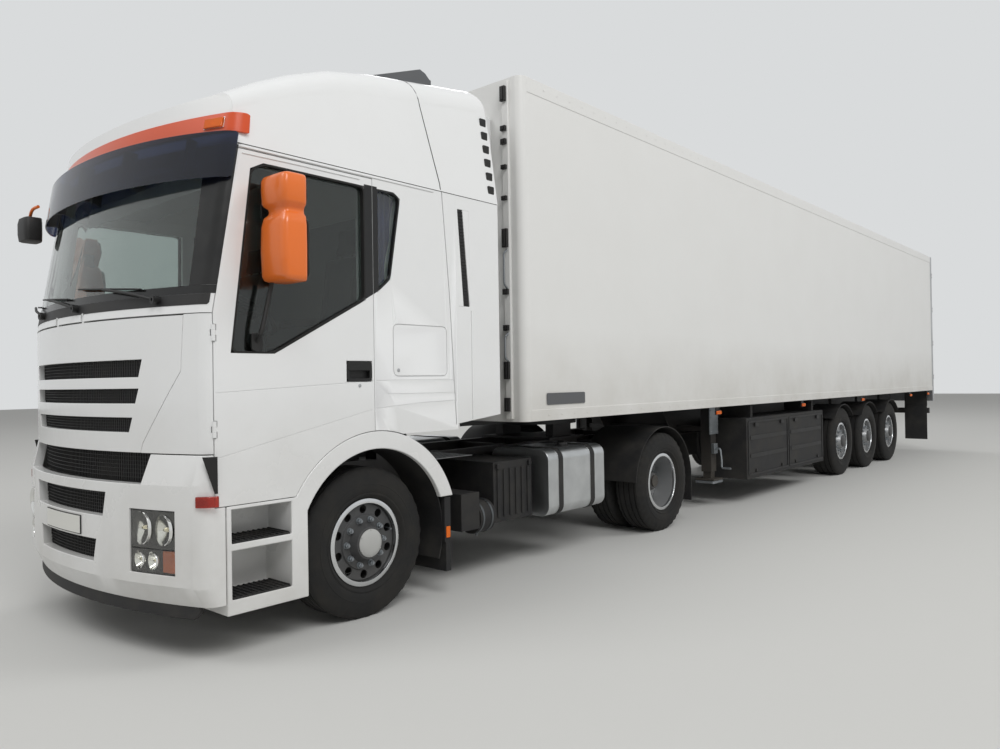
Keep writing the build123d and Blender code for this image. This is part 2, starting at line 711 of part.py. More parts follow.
# Driven axle with its air springs and shafts
drive_beam_half = 500
with BuildPart() as rear_axle:
    rod((-drive_beam_half, drive_axle_y, tractor_wheel_z), (drive_beam_half, drive_axle_y, tractor_wheel_z), 80)
    with Locations((0, drive_axle_y, tractor_wheel_z)):
        Sphere(215)
    rod((0, front_axle_y + 1506, 640), (0, drive_axle_y - 190, tractor_wheel_z + 20), 55)
    for side in (1, -1):
        width = (side * 390 - 50, side * 390 + 50)
        block(width, (-480, 480), (tractor_wheel_z - 110, tractor_wheel_z - 50), origin_y=drive_axle_y)
        block(width, (-80, 80), (tractor_wheel_z - 50, tractor_wheel_z), origin_y=drive_axle_y)
        for y in (drive_axle_y - 400, drive_axle_y + 400):
            rod((side * 390, y, tractor_wheel_z - 50), (side * 390, y, rail_low), 105)
    # Spindles that carry the wheels' hubs
    rod((-dual_outer_x - 40, drive_axle_y, tractor_wheel_z), (dual_outer_x + 40, drive_axle_y, tractor_wheel_z),
        spindle_radius)
save(rear_axle.part, "rear_axle")


# Wheels
def tyre(width, radius):
    """A tyre about the X axis, centred on the origin."""
    half = width / 2
    with BuildPart() as ring:
        with BuildSketch(Plane.XZ):
            with BuildLine():
                Polyline((half - 38, bead_radius), (half - 2, bead_radius + 75), (half - 14, radius - 45),
                         (half - 42, radius), (-half + 42, radius), (-half + 14, radius - 45),
                         (-half + 2, bead_radius + 75), (-half + 38, bead_radius), close=True)
            make_face()
        revolve(axis=Axis.X)
    return ring.part


def rim(width, dish, hub_length):
    """A disc wheel about the X axis with its outer face towards +X: dish is the disc's place from the middle."""
    half = width / 2 - 38
    flange = half + 6
    with BuildPart() as wheel:
        with BuildSketch(Plane.XZ):
            with BuildLine():
                Polyline((-flange, 258), (-flange, rim_flange_radius - 12), (-half, bead_radius - seat_gap),
                         (half, bead_radius - seat_gap), (flange, rim_flange_radius - 12), (flange, 258),
                         (half - 20, 258), (-half + 20, 258), close=True)
            make_face()
            with BuildLine():
                Polyline((dish - 12, 160), (dish + 12, 160), (dish + 12, 178), (dish, 184), (dish, 248),
                         (dish - 10, 262), (dish - 24, 262), (dish - 12, 248), close=True)
            make_face()
            with BuildLine():
                Polyline((dish - hub_length, spindle_radius + seat_gap), (dish - hub_length, 140), (dish - 14, 175),
                         (dish + 12, 175), (dish + 12, 130), (dish + 70, 105), (dish + 70, spindle_radius + seat_gap),
                         close=True)
            make_face()
        revolve(axis=Axis.X)
        for index in range(hand_holes):
            angle = 2 * math.pi * (index + 0.5) / hand_holes
            y, z = hand_hole_circle * math.cos(angle), hand_hole_circle * math.sin(angle)
            rod((dish - 60, y, z), (dish + 40, y, z), hand_hole_radius, Mode.SUBTRACT)
    return wheel.part


front_tyre = tyre(tractor_tyre_width, tractor_tyre_radius)
trailer_tyre = tyre(trailer_tyre_width, trailer_tyre_radius)
front_rim = rim(tractor_tyre_width, 95, 90)
dual_rim = rim(tractor_tyre_width, -95, 30)
trailer_rim = rim(trailer_tyre_width, 110, 120)
front_wheel_x = front_track / 2
trailer_wheel_x = trailer_track / 2

for side, name in ((1, "left"), (-1, "right")):
    turn = 0 if side > 0 else 180
    spot = Location((side * front_wheel_x, front_axle_y, tractor_wheel_z), (0, 0, turn))
    save(spot * front_tyre, f"front_tyre_{name}")
    save(spot * front_rim, f"front_rim_{name}")
    inner = Location((side * dual_inner_x, drive_axle_y, tractor_wheel_z), (0, 0, turn))
    outer = Location((side * dual_outer_x, drive_axle_y, tractor_wheel_z), (0, 0, turn))
    inner_turned = Location((side * dual_inner_x, drive_axle_y, tractor_wheel_z), (0, 0, 180 - turn))
    save(Compound([inner * front_tyre, outer * front_tyre]), f"drive_tyres_{name}")
    save(Compound([inner_turned * dual_rim, outer * dual_rim]), f"drive_rims_{name}")
    for axle in range(3):
        y = kingpin_y + first_trailer_axle + axle * trailer_axle_pitch
        spot = Location((side * trailer_wheel_x, y, trailer_tyre_radius), (0, 0, turn))
        save(spot * trailer_tyre, f"trailer_tyre_{name}_{axle + 1}")
        save(spot * trailer_rim, f"trailer_rim_{name}_{axle + 1}")

# Steering knuckles: a fork over the beam's eye, on its pin, and the wheel's spindle
fork_height = 45
fork_web = (steering_eye_radius + gap, steering_eye_radius + gap + 35)
for side, name in ((1, "left"), (-1, "right")):
    with BuildPart() as knuckle:
        x = side * steering_axis_x
        eye_low = tractor_wheel_z - steering_eye_half - seat_gap
        eye_high = tractor_wheel_z + steering_eye_half + seat_gap
        for low in (eye_low - fork_height, eye_high):
            rod((x, front_axle_y, low), (x, front_axle_y, low + fork_height), steering_eye_radius)
            block(sorted((x, x + side * fork_web[1])), (-steering_eye_radius, steering_eye_radius),
                  (low, low + fork_height), origin_y=front_axle_y)
        block(sorted((x + side * fork_web[0], x + side * fork_web[1])), (-steering_eye_radius, steering_eye_radius),
              (eye_low - fork_height, eye_high + fork_height), origin_y=front_axle_y)
        rod((x, front_axle_y, eye_low - fork_height), (x, front_axle_y, eye_high + fork_height), steering_pin_radius)
        rod((x + side * fork_web[0], front_axle_y, tractor_wheel_z),
            (side * (front_wheel_x + 150), front_axle_y, tractor_wheel_z), spindle_radius)
    save(knuckle.part, f"knuckle_{name}")

# Fifth wheel on its pedestals
coupling_top = 1150
plate_radius = 460
kingpin_radius = 25.4
with BuildPart() as fifth_wheel:
    with Locations((0, kingpin_y, coupling_top - 25)):
        Cylinder(plate_radius, 50)
    with Locations((0, kingpin_y, coupling_top)):
        Cylinder(kingpin_radius + seat_gap, 400, mode=Mode.SUBTRACT)
    slab(trailer_plan, [(-kingpin_radius - 1, 0), (kingpin_radius + 1, 0), (130, 480), (-130, 480)],
         coupling_top - 60, coupling_top + 10, Mode.SUBTRACT)
    for side in (1, -1):
        block((side * 340 - 50, side * 340 + 50), (-150, 150), (rail_high + 20, coupling_top - 50), origin_y=kingpin_y)
    block((-rail_outer - 30, rail_outer + 30), (-300, 300), (rail_high, rail_high + 20), origin_y=kingpin_y)
save(fifth_wheel.part, "fifth_wheel")

# Mudguards over the driven wheels
guard_radius = 555
guard_wall = 8
with BuildPart() as rear_mudguards:
    with BuildSketch(tractor_side.offset(585)):
        with BuildLine():
            CenterArc((wheelbase, tractor_wheel_z), guard_radius, 5, 170)
            CenterArc((wheelbase, tractor_wheel_z), guard_radius + guard_wall, 5, 170)
            for angle in (5, 175):
                Line(PolarLine((wheelbase, tractor_wheel_z), guard_radius, angle, mode=Mode.PRIVATE) @ 1,
                     PolarLine((wheelbase, tractor_wheel_z), guard_radius + guard_wall, angle, mode=Mode.PRIVATE) @ 1)
        make_face()
    extrude(amount=655)
    for y in (-400, 360):
        block((rail_outer, 600), (y, y + 40), (900, 925), origin_y=drive_axle_y)
    block((585, 1240), (guard_radius - 4, guard_radius + 4), (240, 560), origin_y=drive_axle_y)
    mirror(about=Plane.YZ)
save(rear_mudguards.part, "rear_mudguards")

# Trailer body: side walls with their rails, roof, floor, front wall and rear frame
wall_thickness = 60
rail_proud = 5
roof_thickness = 80
floor_thickness = 110
front_wall_thickness = 80
rear_frame_depth = 100
frame_post = 62
corner_radius = 70
trailer_front = -nose_overhang
trailer_rear = body_length - nose_overhang
wall_front = trailer_front + front_wall_thickness
wall_rear = trailer_rear - rear_frame_depth
inner_half = body_half - wall_thickness
with BuildPart() as box_sides:
    with BuildSketch(Plane(origin=(0, kingpin_y + wall_front, 0), x_dir=(1, 0, 0), z_dir=(0, -1, 0))) as wall:
        with BuildLine():
            Polyline((inner_half, body_bottom), (body_half, body_bottom), (body_half, body_bottom + 90),
                     (body_half - rail_proud, body_bottom + 95), (body_half - rail_proud, body_top - 125),
                     (body_half, body_top - 120), (body_half, body_top), (inner_half, body_top), close=True)
        make_face()
    extrude(wall.sketch, amount=-(wall_rear - wall_front))
    mirror(about=Plane.YZ)
save(box_sides.part, "box_sides")

with BuildPart() as box_roof:
    block((-inner_half, inner_half), (wall_front, wall_rear), (body_top - roof_thickness, body_top), origin_y=kingpin_y)
save(box_roof.part, "box_roof")

with BuildPart() as box_floor:
    block((-inner_half, inner_half), (wall_front, wall_rear), (body_bottom, body_bottom + floor_thickness),
          origin_y=kingpin_y)
save(box_floor.part, "box_floor")

with BuildPart() as box_front_wall:
    with BuildSketch(trailer_plan.offset(body_bottom)) as plan:
        with BuildLine():
            Polyline((-body_half, wall_front), (-body_half, trailer_front), (body_half, trailer_front),
                     (body_half, wall_front), close=True)
        make_face()
        fillet(plan.vertices().group_by(Axis.Y)[0], radius=corner_radius)
    extrude(amount=body_top - body_bottom)
save(box_front_wall.part, "box_front_wall")

rear_opening_low = body_bottom + 10
rear_opening_high = body_top - 110
rear_hinge = (body_half - 8, kingpin_y + trailer_rear + 28)
rear_hinge_z = [1450, 2150, 2850, 3560]
rear_hinge_web = 6
with BuildPart() as rear_frame:
    block((-body_half, body_half), (wall_rear, trailer_rear), (body_bottom - 220, body_top), origin_y=kingpin_y)
    block((-body_half + frame_post, body_half - frame_post), (wall_rear - 10, trailer_rear + 10),
          (rear_opening_low, rear_opening_high), Mode.SUBTRACT, kingpin_y)
    for side in (1, -1):
        block((side * 900 - 60, side * 900 + 60), (trailer_rear, trailer_rear + buffer_reach), (1020, 1200),
              origin_y=kingpin_y)
        hinge = (side * rear_hinge[0], rear_hinge[1])
        for z in rear_hinge_z:
            for low in (z, z + 2 * hinge_knuckle):
                block((hinge[0] - rear_hinge_web, hinge[0] + rear_hinge_web),
                      (kingpin_y + trailer_rear, hinge[1]), (low, low + hinge_knuckle))
            barrels(hinge, [z, z + 2 * hinge_knuckle], hinge_knuckle, hinge_radius)
            barrels(hinge, [z], 3 * hinge_knuckle, hinge_pin_radius)
save(rear_frame.part, "rear_frame")

# Rear doors, with their lock bars and the hinge straps that let them swing round to the sides
rear_door_thickness = 85
strap_reach = (gap, gap + 8)     # behind the frame's rear face
strap_inner_x = 1130
with BuildPart() as rear_door_left:
    block((3, body_half - frame_post - gap), (trailer_rear - rear_door_thickness, trailer_rear - 5),
          (rear_opening_low + gap, rear_opening_high - gap), origin_y=kingpin_y)
    for x in (250, 820):
        y = kingpin_y + trailer_rear + 4
        rod((x, y, rear_opening_low + 30), (x, y, rear_opening_high - 30), 14)
    for z in rear_hinge_z:
        low = z + hinge_knuckle + seat_gap
        high = z + 2 * hinge_knuckle - seat_gap
        block((strap_inner_x, body_half - frame_post - 2 * gap), (trailer_rear - 10, trailer_rear + strap_reach[1]),
              (low, high), origin_y=kingpin_y)
        block((strap_inner_x, rear_hinge[0] + rear_hinge_web),
              (trailer_rear + strap_reach[0], trailer_rear + strap_reach[1]), (low, high), origin_y=kingpin_y)
        block((rear_hinge[0] - rear_hinge_web, rear_hinge[0] + rear_hinge_web),
              (kingpin_y + trailer_rear + strap_reach[0], rear_hinge[1]), (low, high))
        barrels(rear_hinge, [low], high - low, hinge_radius)
        barrels(rear_hinge, [z], 3 * hinge_knuckle, hinge_pin_radius + seat_gap, Mode.SUBTRACT)
save(rear_door_left.part, "rear_door_left")
with BuildPart() as rear_door_right:
    mirror(rear_door_left.part, about=Plane.YZ)
save(rear_door_right.part, "rear_door_right")

# Refrigeration unit on the front wall
with BuildPart() as fridge_unit:
    with BuildSketch(trailer_plan.offset(2050)) as plan:
        with BuildLine():
            Polyline((-1000, trailer_front), (-1000, trailer_front - 230), (-560, trailer_front - 410),
                     (560, trailer_front - 410), (1000, trailer_front - 230), (1000, trailer_front), close=True)
        make_face()
    extrude(amount=1650)
    fillet(fridge_unit.edges().filter_by(Axis.Z), radius=40)
save(fridge_unit.part, "fridge_unit")

# Trailer chassis: beams, cross members, coupling plate, kingpin and landing legs
beam_x = 480
neck_low = 1156
main_low = 850
leg_y = 2260
with BuildPart() as trailer_chassis:
    for side in (1, -1):
        x = side * beam_x
        slab(trailer_side, [(-1600, neck_low), (1900, neck_low), (2150, main_low), (trailer_rear - 105, main_low),
                            (trailer_rear - 105, body_bottom), (-1600, body_bottom)], x - 6, x + 6)
        slab(trailer_side, [(2150, main_low), (2150, main_low + 12), (trailer_rear - 105, main_low + 12),
                            (trailer_rear - 105, main_low)], x - 65, x + 65)
    for y in (2300, 3400, 4600, 5600, 6900, 8250, 9600, 10800):
        block((-beam_x, beam_x), (y - 6, y + 6), (main_low + 60, body_bottom), origin_y=kingpin_y)
    with Locations((0, kingpin_y, (coupling_top + seat_gap + body_bottom) / 2)):
        Box(1100, 1300, body_bottom - coupling_top - seat_gap)
    with Locations((0, kingpin_y, coupling_top - 40)):
        Cylinder(kingpin_radius, 85)
    for side in (1, -1):
        for half, low, high in ((65, 420, body_bottom), (50, 340, 420), (120, 320, 340)):
            block((side * 900 - half, side * 900 + half), (leg_y - half, leg_y + half), (low, high), origin_y=kingpin_y)
    block((-900, 900), (leg_y - 30, leg_y + 30), (900, 960), origin_y=kingpin_y)
    # Rear bar and its hangers
    block((-1230, 1230), (trailer_rear - 130, trailer_rear - 50), (740, 850), origin_y=kingpin_y)
    for side in (1, -1):
        block((side * beam_x - 40, side * beam_x + 40), (trailer_rear - 200, trailer_rear - 100),
              (740, body_bottom - 220), origin_y=kingpin_y)
save(trailer_chassis.part, "trailer_chassis")

# Pallet boxes under the floor
with BuildPart() as pallet_boxes:
    block((760, 1250), (2560, 5210), (310, 1050), origin_y=kingpin_y)
    for y in (2800, 4900):
        block((800, 1200), (y, y + 60), (1050, body_bottom), origin_y=kingpin_y)
    mirror(about=Plane.YZ)
save(pallet_boxes.part, "pallet_boxes")

# Trailer axles with arms, air springs and spindles
with BuildPart() as trailer_axles:
    for axle in range(3):
        y = kingpin_y + first_trailer_axle + axle * trailer_axle_pitch
        z = trailer_tyre_radius
        rod((-760, y, z), (760, y, z), 73)
        rod((-trailer_wheel_x - 150, y, z), (trailer_wheel_x + 150, y, z), spindle_radius)
        for side in (1, -1):
            x = side * beam_x
            block((x - 50, x + 50), (y - 480, y + 300), (z + 60, z + 110))
            block((x - 60, x + 60), (y - 540, y - 440), (z + 60, main_low))
            rod((x, y + 220, z + 110), (x, y + 220, main_low), 110)
save(trailer_axles.part, "trailer_axles")

# Mudguards over the trailer's wheels, with rear flaps
trailer_guard_radius = trailer_tyre_radius + 45
with BuildPart() as trailer_guards:
    for axle in range(3):
        centre = (first_trailer_axle + axle * trailer_axle_pitch, trailer_tyre_radius)
        with BuildSketch(trailer_side.offset(820)) as band:
            with BuildLine():
                CenterArc(centre, trailer_guard_radius, 40, 100)
                CenterArc(centre, trailer_guard_radius + guard_wall, 40, 100)
                for angle in (40, 140):
                    Line(PolarLine(centre, trailer_guard_radius, angle, mode=Mode.PRIVATE) @ 1,
                         PolarLine(centre, trailer_guard_radius + guard_wall, angle, mode=Mode.PRIVATE) @ 1)
            make_face()
        extrude(band.sketch, amount=410)
        block((1000, 1040), (centre[0] - 20, centre[0] + 20), (trailer_tyre_radius + trailer_guard_radius, body_bottom),
              origin_y=kingpin_y)
    block((820, 1240), (trailer_rear - 340, trailer_rear - 332), (210, 900), origin_y=kingpin_y)
    block((820, 1240), (trailer_rear - 332, trailer_rear - 300), (900, body_bottom), origin_y=kingpin_y)
    mirror(about=Plane.YZ)
save(trailer_guards.part, "trailer_guards")
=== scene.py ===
import bpy
import bmesh
import json
import math
from mathutils import Matrix, Vector
from mathutils.bvhtree import BVHTree


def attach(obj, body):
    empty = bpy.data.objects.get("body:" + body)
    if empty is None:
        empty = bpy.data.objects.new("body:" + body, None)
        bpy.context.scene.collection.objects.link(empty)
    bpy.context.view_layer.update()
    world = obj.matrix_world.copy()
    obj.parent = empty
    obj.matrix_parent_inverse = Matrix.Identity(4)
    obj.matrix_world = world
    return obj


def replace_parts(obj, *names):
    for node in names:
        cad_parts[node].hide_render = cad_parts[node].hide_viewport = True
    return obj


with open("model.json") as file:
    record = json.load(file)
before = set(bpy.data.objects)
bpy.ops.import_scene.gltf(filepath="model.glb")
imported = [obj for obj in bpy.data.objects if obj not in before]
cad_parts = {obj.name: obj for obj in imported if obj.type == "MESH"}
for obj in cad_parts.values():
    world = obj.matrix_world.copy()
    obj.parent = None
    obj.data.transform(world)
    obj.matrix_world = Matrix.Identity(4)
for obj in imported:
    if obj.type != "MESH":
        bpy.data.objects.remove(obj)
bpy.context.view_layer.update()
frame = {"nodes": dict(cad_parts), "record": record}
nodes = frame["nodes"]
mm = 0.001
sides = ((1, "left"), (-1, "right"))

# Camera, at the photograph's viewpoint on a frame of 1000 by 749
photo_width = 1000
focal_px = 780.5
sensor_mm = 36.0
camera_place = Vector((5.225, -10.096, 1.546))
camera_yaw = math.radians(41.18)
camera_pitch = math.radians(0.48)
camera_roll = math.radians(-0.89)


def aim_camera():
    """The camera's matrix from its heading, pitch and roll."""
    forward = Vector((-math.sin(camera_yaw) * math.cos(camera_pitch),
                      math.cos(camera_yaw) * math.cos(camera_pitch), math.sin(camera_pitch)))
    right = Vector((math.cos(camera_yaw), math.sin(camera_yaw), 0))
    up = right.cross(forward)
    rolled_right = math.cos(camera_roll) * right + math.sin(camera_roll) * up
    rolled_up = -math.sin(camera_roll) * right + math.cos(camera_roll) * up
    turn = Matrix((rolled_right, rolled_up, -forward)).transposed().to_4x4()
    return Matrix.Translation(camera_place) @ turn


lens = bpy.data.cameras.new("photo_camera")
lens.sensor_width = sensor_mm
lens.lens = sensor_mm * focal_px / photo_width
lens.clip_end = 200
camera = bpy.data.objects.new("photo_camera", lens)
camera.matrix_world = aim_camera()
bpy.context.scene.collection.objects.link(camera)
bpy.context.scene.camera = camera
bpy.context.scene.view_settings.view_transform = "Standard"


# Materials
def linear(code):
    """An sRGB hex value as the linear colour that the shaders work in."""
    channels = [int(code[i:i + 2], 16) / 255 for i in (1, 3, 5)]
    return [c / 12.92 if c <= 0.04045 else ((c + 0.055) / 1.055) ** 2.4 for c in channels] + [1.0]


def put(tree, kind, settings=(), links=()):
    """Adds one node: settings are properties or sockets by name or index, links feed its sockets."""
    node = tree.nodes.new("ShaderNode" + kind)
    for key, value in dict(settings).items():
        if isinstance(key, str) and hasattr(node, key):
            setattr(node, key, value)
        else:
            node.inputs[key].default_value = value
    for socket, source in dict(links).items():
        tree.links.new(source, node.inputs[socket])
    return node


def new_material(name):
    """An empty node material, the tree to draw in, and the place on the piece that its patterns follow."""
    material = bpy.data.materials.new(name)
    material.use_nodes = True
    tree = material.node_tree
    tree.nodes.clear()
    return material, tree, put(tree, "TexCoord").outputs["Object"]


def finish_with(tree, shader):
    """Joins the last shader to the material's output."""
    put(tree, "OutputMaterial", (), {"Surface": shader.outputs[0]})


def surface(tree, base, tint, tint_share, gloss, gloss_share, height, bump, settings=()):
    """Two colours mixed by one share, two roughnesses by another, and a bump, on the main shader."""
    colour = put(tree, "Mix", {"data_type": "RGBA", "A": linear(base), "B": linear(tint)}, {"Factor": tint_share})
    rough = put(tree, "MapRange", {"To Min": gloss[0], "To Max": min(gloss[1], 1.0)}, {"Value": gloss_share})
    relief = put(tree, "Bump", {"Strength": bump[0], "Distance": bump[1]}, {"Height": height})
    finish_with(tree, put(tree, "BsdfPrincipled", settings,
                          {"Base Color": colour.outputs["Result"], "Roughness": rough.outputs["Result"],
                           "Normal": relief.outputs["Normal"]}))


def painted(name, base, dust, roughness, peel_mm, peel_height, dirt_low, dirt_high, coat=0.0, metallic=0.0):
    """A sprayed paint: a fine orange peel, broad dust, and road film that thickens towards the wheels."""
    material, tree, place = new_material(name)
    peel = put(tree, "TexNoise", {"Scale": 1 / (peel_mm * mm), "Detail": 2.0}, {"Vector": place})
    broad = put(tree, "TexNoise", {"Scale": 1.7, "Detail": 6.0, "Roughness": 0.62}, {"Vector": place})
    height = put(tree, "SeparateXYZ", (), {"Vector": place}).outputs["Z"]
    low = put(tree, "MapRange", {"From Min": dirt_low, "From Max": dirt_high, "To Min": 0.75, "To Max": 0.1},
              {"Value": height}).outputs["Result"]
    film = put(tree, "Math", {"operation": "MULTIPLY"}, {0: low, 1: broad.outputs["Fac"]}).outputs["Value"]
    surface(tree, base, dust, film, (roughness, roughness + 0.35), film, peel.outputs["Fac"], (0.25, peel_height),
            {"Metallic": metallic, "Coat Weight": coat, "Coat Roughness": 0.06})
    return material


def moulded(name, base, roughness, grain_mm, grain_height, dust="#6b665c", dust_share=0.18):
    """A moulded plastic or rubber: a pebble grain from the tool, and dust settled in it."""
    material, tree, place = new_material(name)
    grain = put(tree, "TexVoronoi", {"feature": "F1", "Scale": 1 / (grain_mm * mm)}, {"Vector": place})
    cloud = put(tree, "TexNoise", {"Scale": 4.5, "Detail": 5.0, "Roughness": 0.6}, {"Vector": place}).outputs["Fac"]
    share = put(tree, "MapRange", {"From Min": 0.42, "From Max": 0.75, "To Min": 0.02, "To Max": dust_share},
                {"Value": cloud}).outputs["Result"]
    surface(tree, base, dust, share, (roughness, roughness + 0.3), cloud, grain.outputs["Distance"],
            (0.35, grain_height))
    return material


def bare_metal(name, base, tint, roughness, line_mm, line_height, along=(1, 1, 1)):
    """A bare metal: fine drawn or brushed lines, and broad patches where it has dulled."""
    material, tree, place = new_material(name)
    stretched = put(tree, "Mapping", {"Scale": along}, {"Vector": place}).outputs["Vector"]
    lines = put(tree, "TexNoise", {"Scale": 1 / (line_mm * mm * max(along)), "Detail": 3.0}, {"Vector": stretched})
    patches = put(tree, "TexNoise", {"Scale": 6.0, "Detail": 4.0}, {"Vector": place}).outputs["Fac"]
    surface(tree, base, tint, patches, (roughness * 0.75, roughness * 1.5), patches, lines.outputs["Fac"],
            (0.2, line_height), {"Metallic": 1.0})
    return material


def clear(name, tint, roughness, ior=1.5, film="#8c8a80", film_share=0.05):
    """Glass or clear plastic, tinted through, with a thin uneven film of dust that keeps it from looking empty."""
    material, tree, place = new_material(name)
    cloud = put(tree, "TexNoise", {"Scale": 3.0, "Detail": 5.0}, {"Vector": place})
    share = put(tree, "MapRange", {"From Min": 0.35, "From Max": 0.8, "To Min": film_share * 0.3,
                                   "To Max": film_share}, {"Value": cloud.outputs["Fac"]}).outputs["Result"]
    glass = put(tree, "BsdfPrincipled", {"Base Color": linear(tint), "Roughness": roughness, "IOR": ior,
                                         "Transmission Weight": 1.0})
    dusty = put(tree, "BsdfPrincipled", {"Base Color": linear(film), "Roughness": 0.8})
    finish_with(tree, put(tree, "MixShader", (), {0: share, 1: glass.outputs["BSDF"], 2: dusty.outputs["BSDF"]}))
    return material


def woven(name, warp, weft, thread_mm):
    """A woven cloth: two thread colours crossing, drawn coarse enough to show, with a soft sheen."""
    material, tree, place = new_material(name)
    turns = 2 * math.pi / (thread_mm * mm) / 20
    threads = [put(tree, "TexWave", {"bands_direction": way, "Scale": turns}, {"Vector": place}).outputs["Fac"]
               for way in "XZ"]
    cross = put(tree, "Math", {"operation": "MULTIPLY"}, {0: threads[0], 1: threads[1]}).outputs["Value"]
    colour = put(tree, "Mix", {"data_type": "RGBA", "A": linear(warp), "B": linear(weft)}, {"Factor": cross})
    bump = put(tree, "Bump", {"Strength": 0.4, "Distance": 0.4 * mm}, {"Height": cross})
    finish_with(tree, put(tree, "BsdfPrincipled", {"Roughness": 0.9, "Sheen Weight": 0.3},
                          {"Base Color": colour.outputs["Result"], "Normal": bump.outputs["Normal"]}))
    return material


# White two-pack enamel on the cab's steel and moulded panels: glossy, faintly rippled, with road film low down
cab_enamel = painted("cab_white_enamel", "#e9eaea", "#9c968a", 0.2, 5.0, 0.05 * mm, 0.2, 1.6, coat=0.5)
# Gel-coated laminate on the box: flatter than the cab's paint, with a little print-through
box_laminate = painted("box_white_gelcoat", "#e4e4e2", "#a39d90", 0.32, 12.0, 0.1 * mm, 1.1, 2.0)
# Black chassis paint, satin, greyed by road dust, and the rougher skin of cast steel
chassis_paint = painted("chassis_black_enamel", "#17171a", "#6e675c", 0.45, 6.0, 0.1 * mm, 0.0, 1.1)
cast_steel = painted("coupling_cast_steel", "#26262a", "#5f594f", 0.5, 3.0, 0.2 * mm, 0.0, 1.4)
# Silver enamel on the pressed wheels, browned by brake dust near the hub, and the darker hubs and front cap
wheel_enamel = painted("wheel_silver_enamel", "#a6a8aa", "#5f594f", 0.35, 4.0, 0.06 * mm, -0.4, 1.0, metallic=0.5)
dark_wheel_enamel = painted("wheel_dark_grey_enamel", "#3b3d40", "#5f594f", 0.42, 4.0, 0.06 * mm, -0.4, 1.0)
cap_enamel = painted("cap_grey_enamel", "#b9bab8", "#6e675c", 0.35, 4.0, 0.04 * mm, -0.4, 1.0)
# Orange sprayed plastic of the mirror shells, and the redder band over the windscreen
mirror_orange = painted("mirror_orange_enamel", "#e8701f", "#9a8466", 0.28, 4.0, 0.05 * mm, -2.0, 1.0, coat=0.3)
band_orange = painted("band_orange_red_enamel", "#d64a10", "#9a8466", 0.28, 4.0, 0.05 * mm, -2.0, 1.0, coat=0.3)
# White enamel on a blank number plate
plate_enamel = painted("plate_white_enamel", "#dcdcd6", "#9c968a", 0.3, 4.0, 0.02 * mm, -2.0, 1.0)
# Black polypropylene of guards, liners and steps: matt, grained; then the finer mouldings and the lining
black_moulding = moulded("black_polypropylene", "#141416", 0.55, 2.5, 0.08 * mm)
grille_moulding = moulded("grille_black_abs", "#0d0d0f", 0.4, 2.0, 0.05 * mm, dust_share=0.1)
grey_moulding = moulded("grey_polyurethane", "#5b5d60", 0.6, 2.5, 0.08 * mm)
dash_moulding = moulded("dash_soft_pvc", "#2a2b2f", 0.65, 2.0, 0.1 * mm, dust_share=0.05)
trim_moulding = moulded("cab_lining_grey_foam", "#8d8f92", 0.85, 3.0, 0.12 * mm, dust_share=0.05)
# Tyre rubber: nearly black, dusty grey-brown on the shoulders; and the smoother rubber of seals
tyre_rubber = moulded("tyre_rubber", "#131313", 0.72, 3.0, 0.1 * mm, dust="#4f4a42", dust_share=0.22)
seal_rubber = moulded("seal_epdm_rubber", "#0b0b0c", 0.6, 1.5, 0.03 * mm, dust_share=0.08)
# Black ceramic fired on the edge of glass: glossy, without grain
black_ceramic = moulded("glass_black_ceramic", "#07080a", 0.06, 2.0, 0.0, dust_share=0.06)
# Bare metals: rolled, polished, drawn, galvanised and extruded, then the two mirrors' silvering
tank_aluminium = bare_metal("tank_rolled_aluminium", "#d9dbdc", "#b3b5b6", 0.3, 3.0, 0.02 * mm, (40, 1, 1))
rim_lip_aluminium = bare_metal("rim_polished_aluminium", "#e6e7e8", "#c4c6c8", 0.16, 2.0, 0.01 * mm)
stainless = bare_metal("frame_stainless_steel", "#c9cacb", "#a9abad", 0.34, 2.0, 0.02 * mm, (1, 1, 30))
strap_steel = bare_metal("strap_stainless_steel", "#7b7e80", "#5c5f62", 0.4, 2.0, 0.02 * mm, (1, 1, 30))
galvanised = bare_metal("galvanised_steel", "#a9adb0", "#84898d", 0.48, 9.0, 0.02 * mm)
floor_aluminium = bare_metal("floor_extruded_aluminium", "#b9bbbd", "#98999b", 0.42, 4.0, 0.02 * mm, (40, 1, 1))
mirror_silver = bare_metal("mirror_silvering", "#f2f3f4", "#eceded", 0.02, 2.0, 0.0)
lamp_silver = bare_metal("reflector_aluminised", "#f0f0ee", "#dededb", 0.08, 2.0, 0.0)
# Glass and clear plastics
screen_glass = clear("windscreen_laminated_glass", "#e2ebe7", 0.0, 1.52, film_share=0.03)
side_glass = clear("side_tinted_glass", "#a3aeab", 0.0, 1.52, film_share=0.04)
visor_acrylic = clear("visor_smoked_acrylic", "#26304c", 0.03, 1.49, film="#3a4568", film_share=0.12)
lamp_lens = clear("lamp_clear_polycarbonate", "#fbfbf7", 0.0, 1.585, film_share=0.02)
bulb_glass = clear("bulb_halogen_glass", "#fff6da", 0.02, 1.5)
amber_lens = clear("lamp_amber_polycarbonate", "#ff9a1c", 0.05, 1.585, film="#ff7c05", film_share=0.88)
red_lens = clear("lamp_red_polycarbonate", "#c4160f", 0.05, 1.585, film="#8f0f0a", film_share=0.5)
red_amber_lens = clear("marker_red_polycarbonate", "#d8341a", 0.06, 1.585, film="#a4260f", film_share=0.55)
# Cloths
seat_cloth = woven("seat_woven_polyester", "#34373e", "#4a4e57", 3.0)
curtain_cloth = woven("curtain_navy_polyester", "#2a2850", "#423f7c", 4.0)

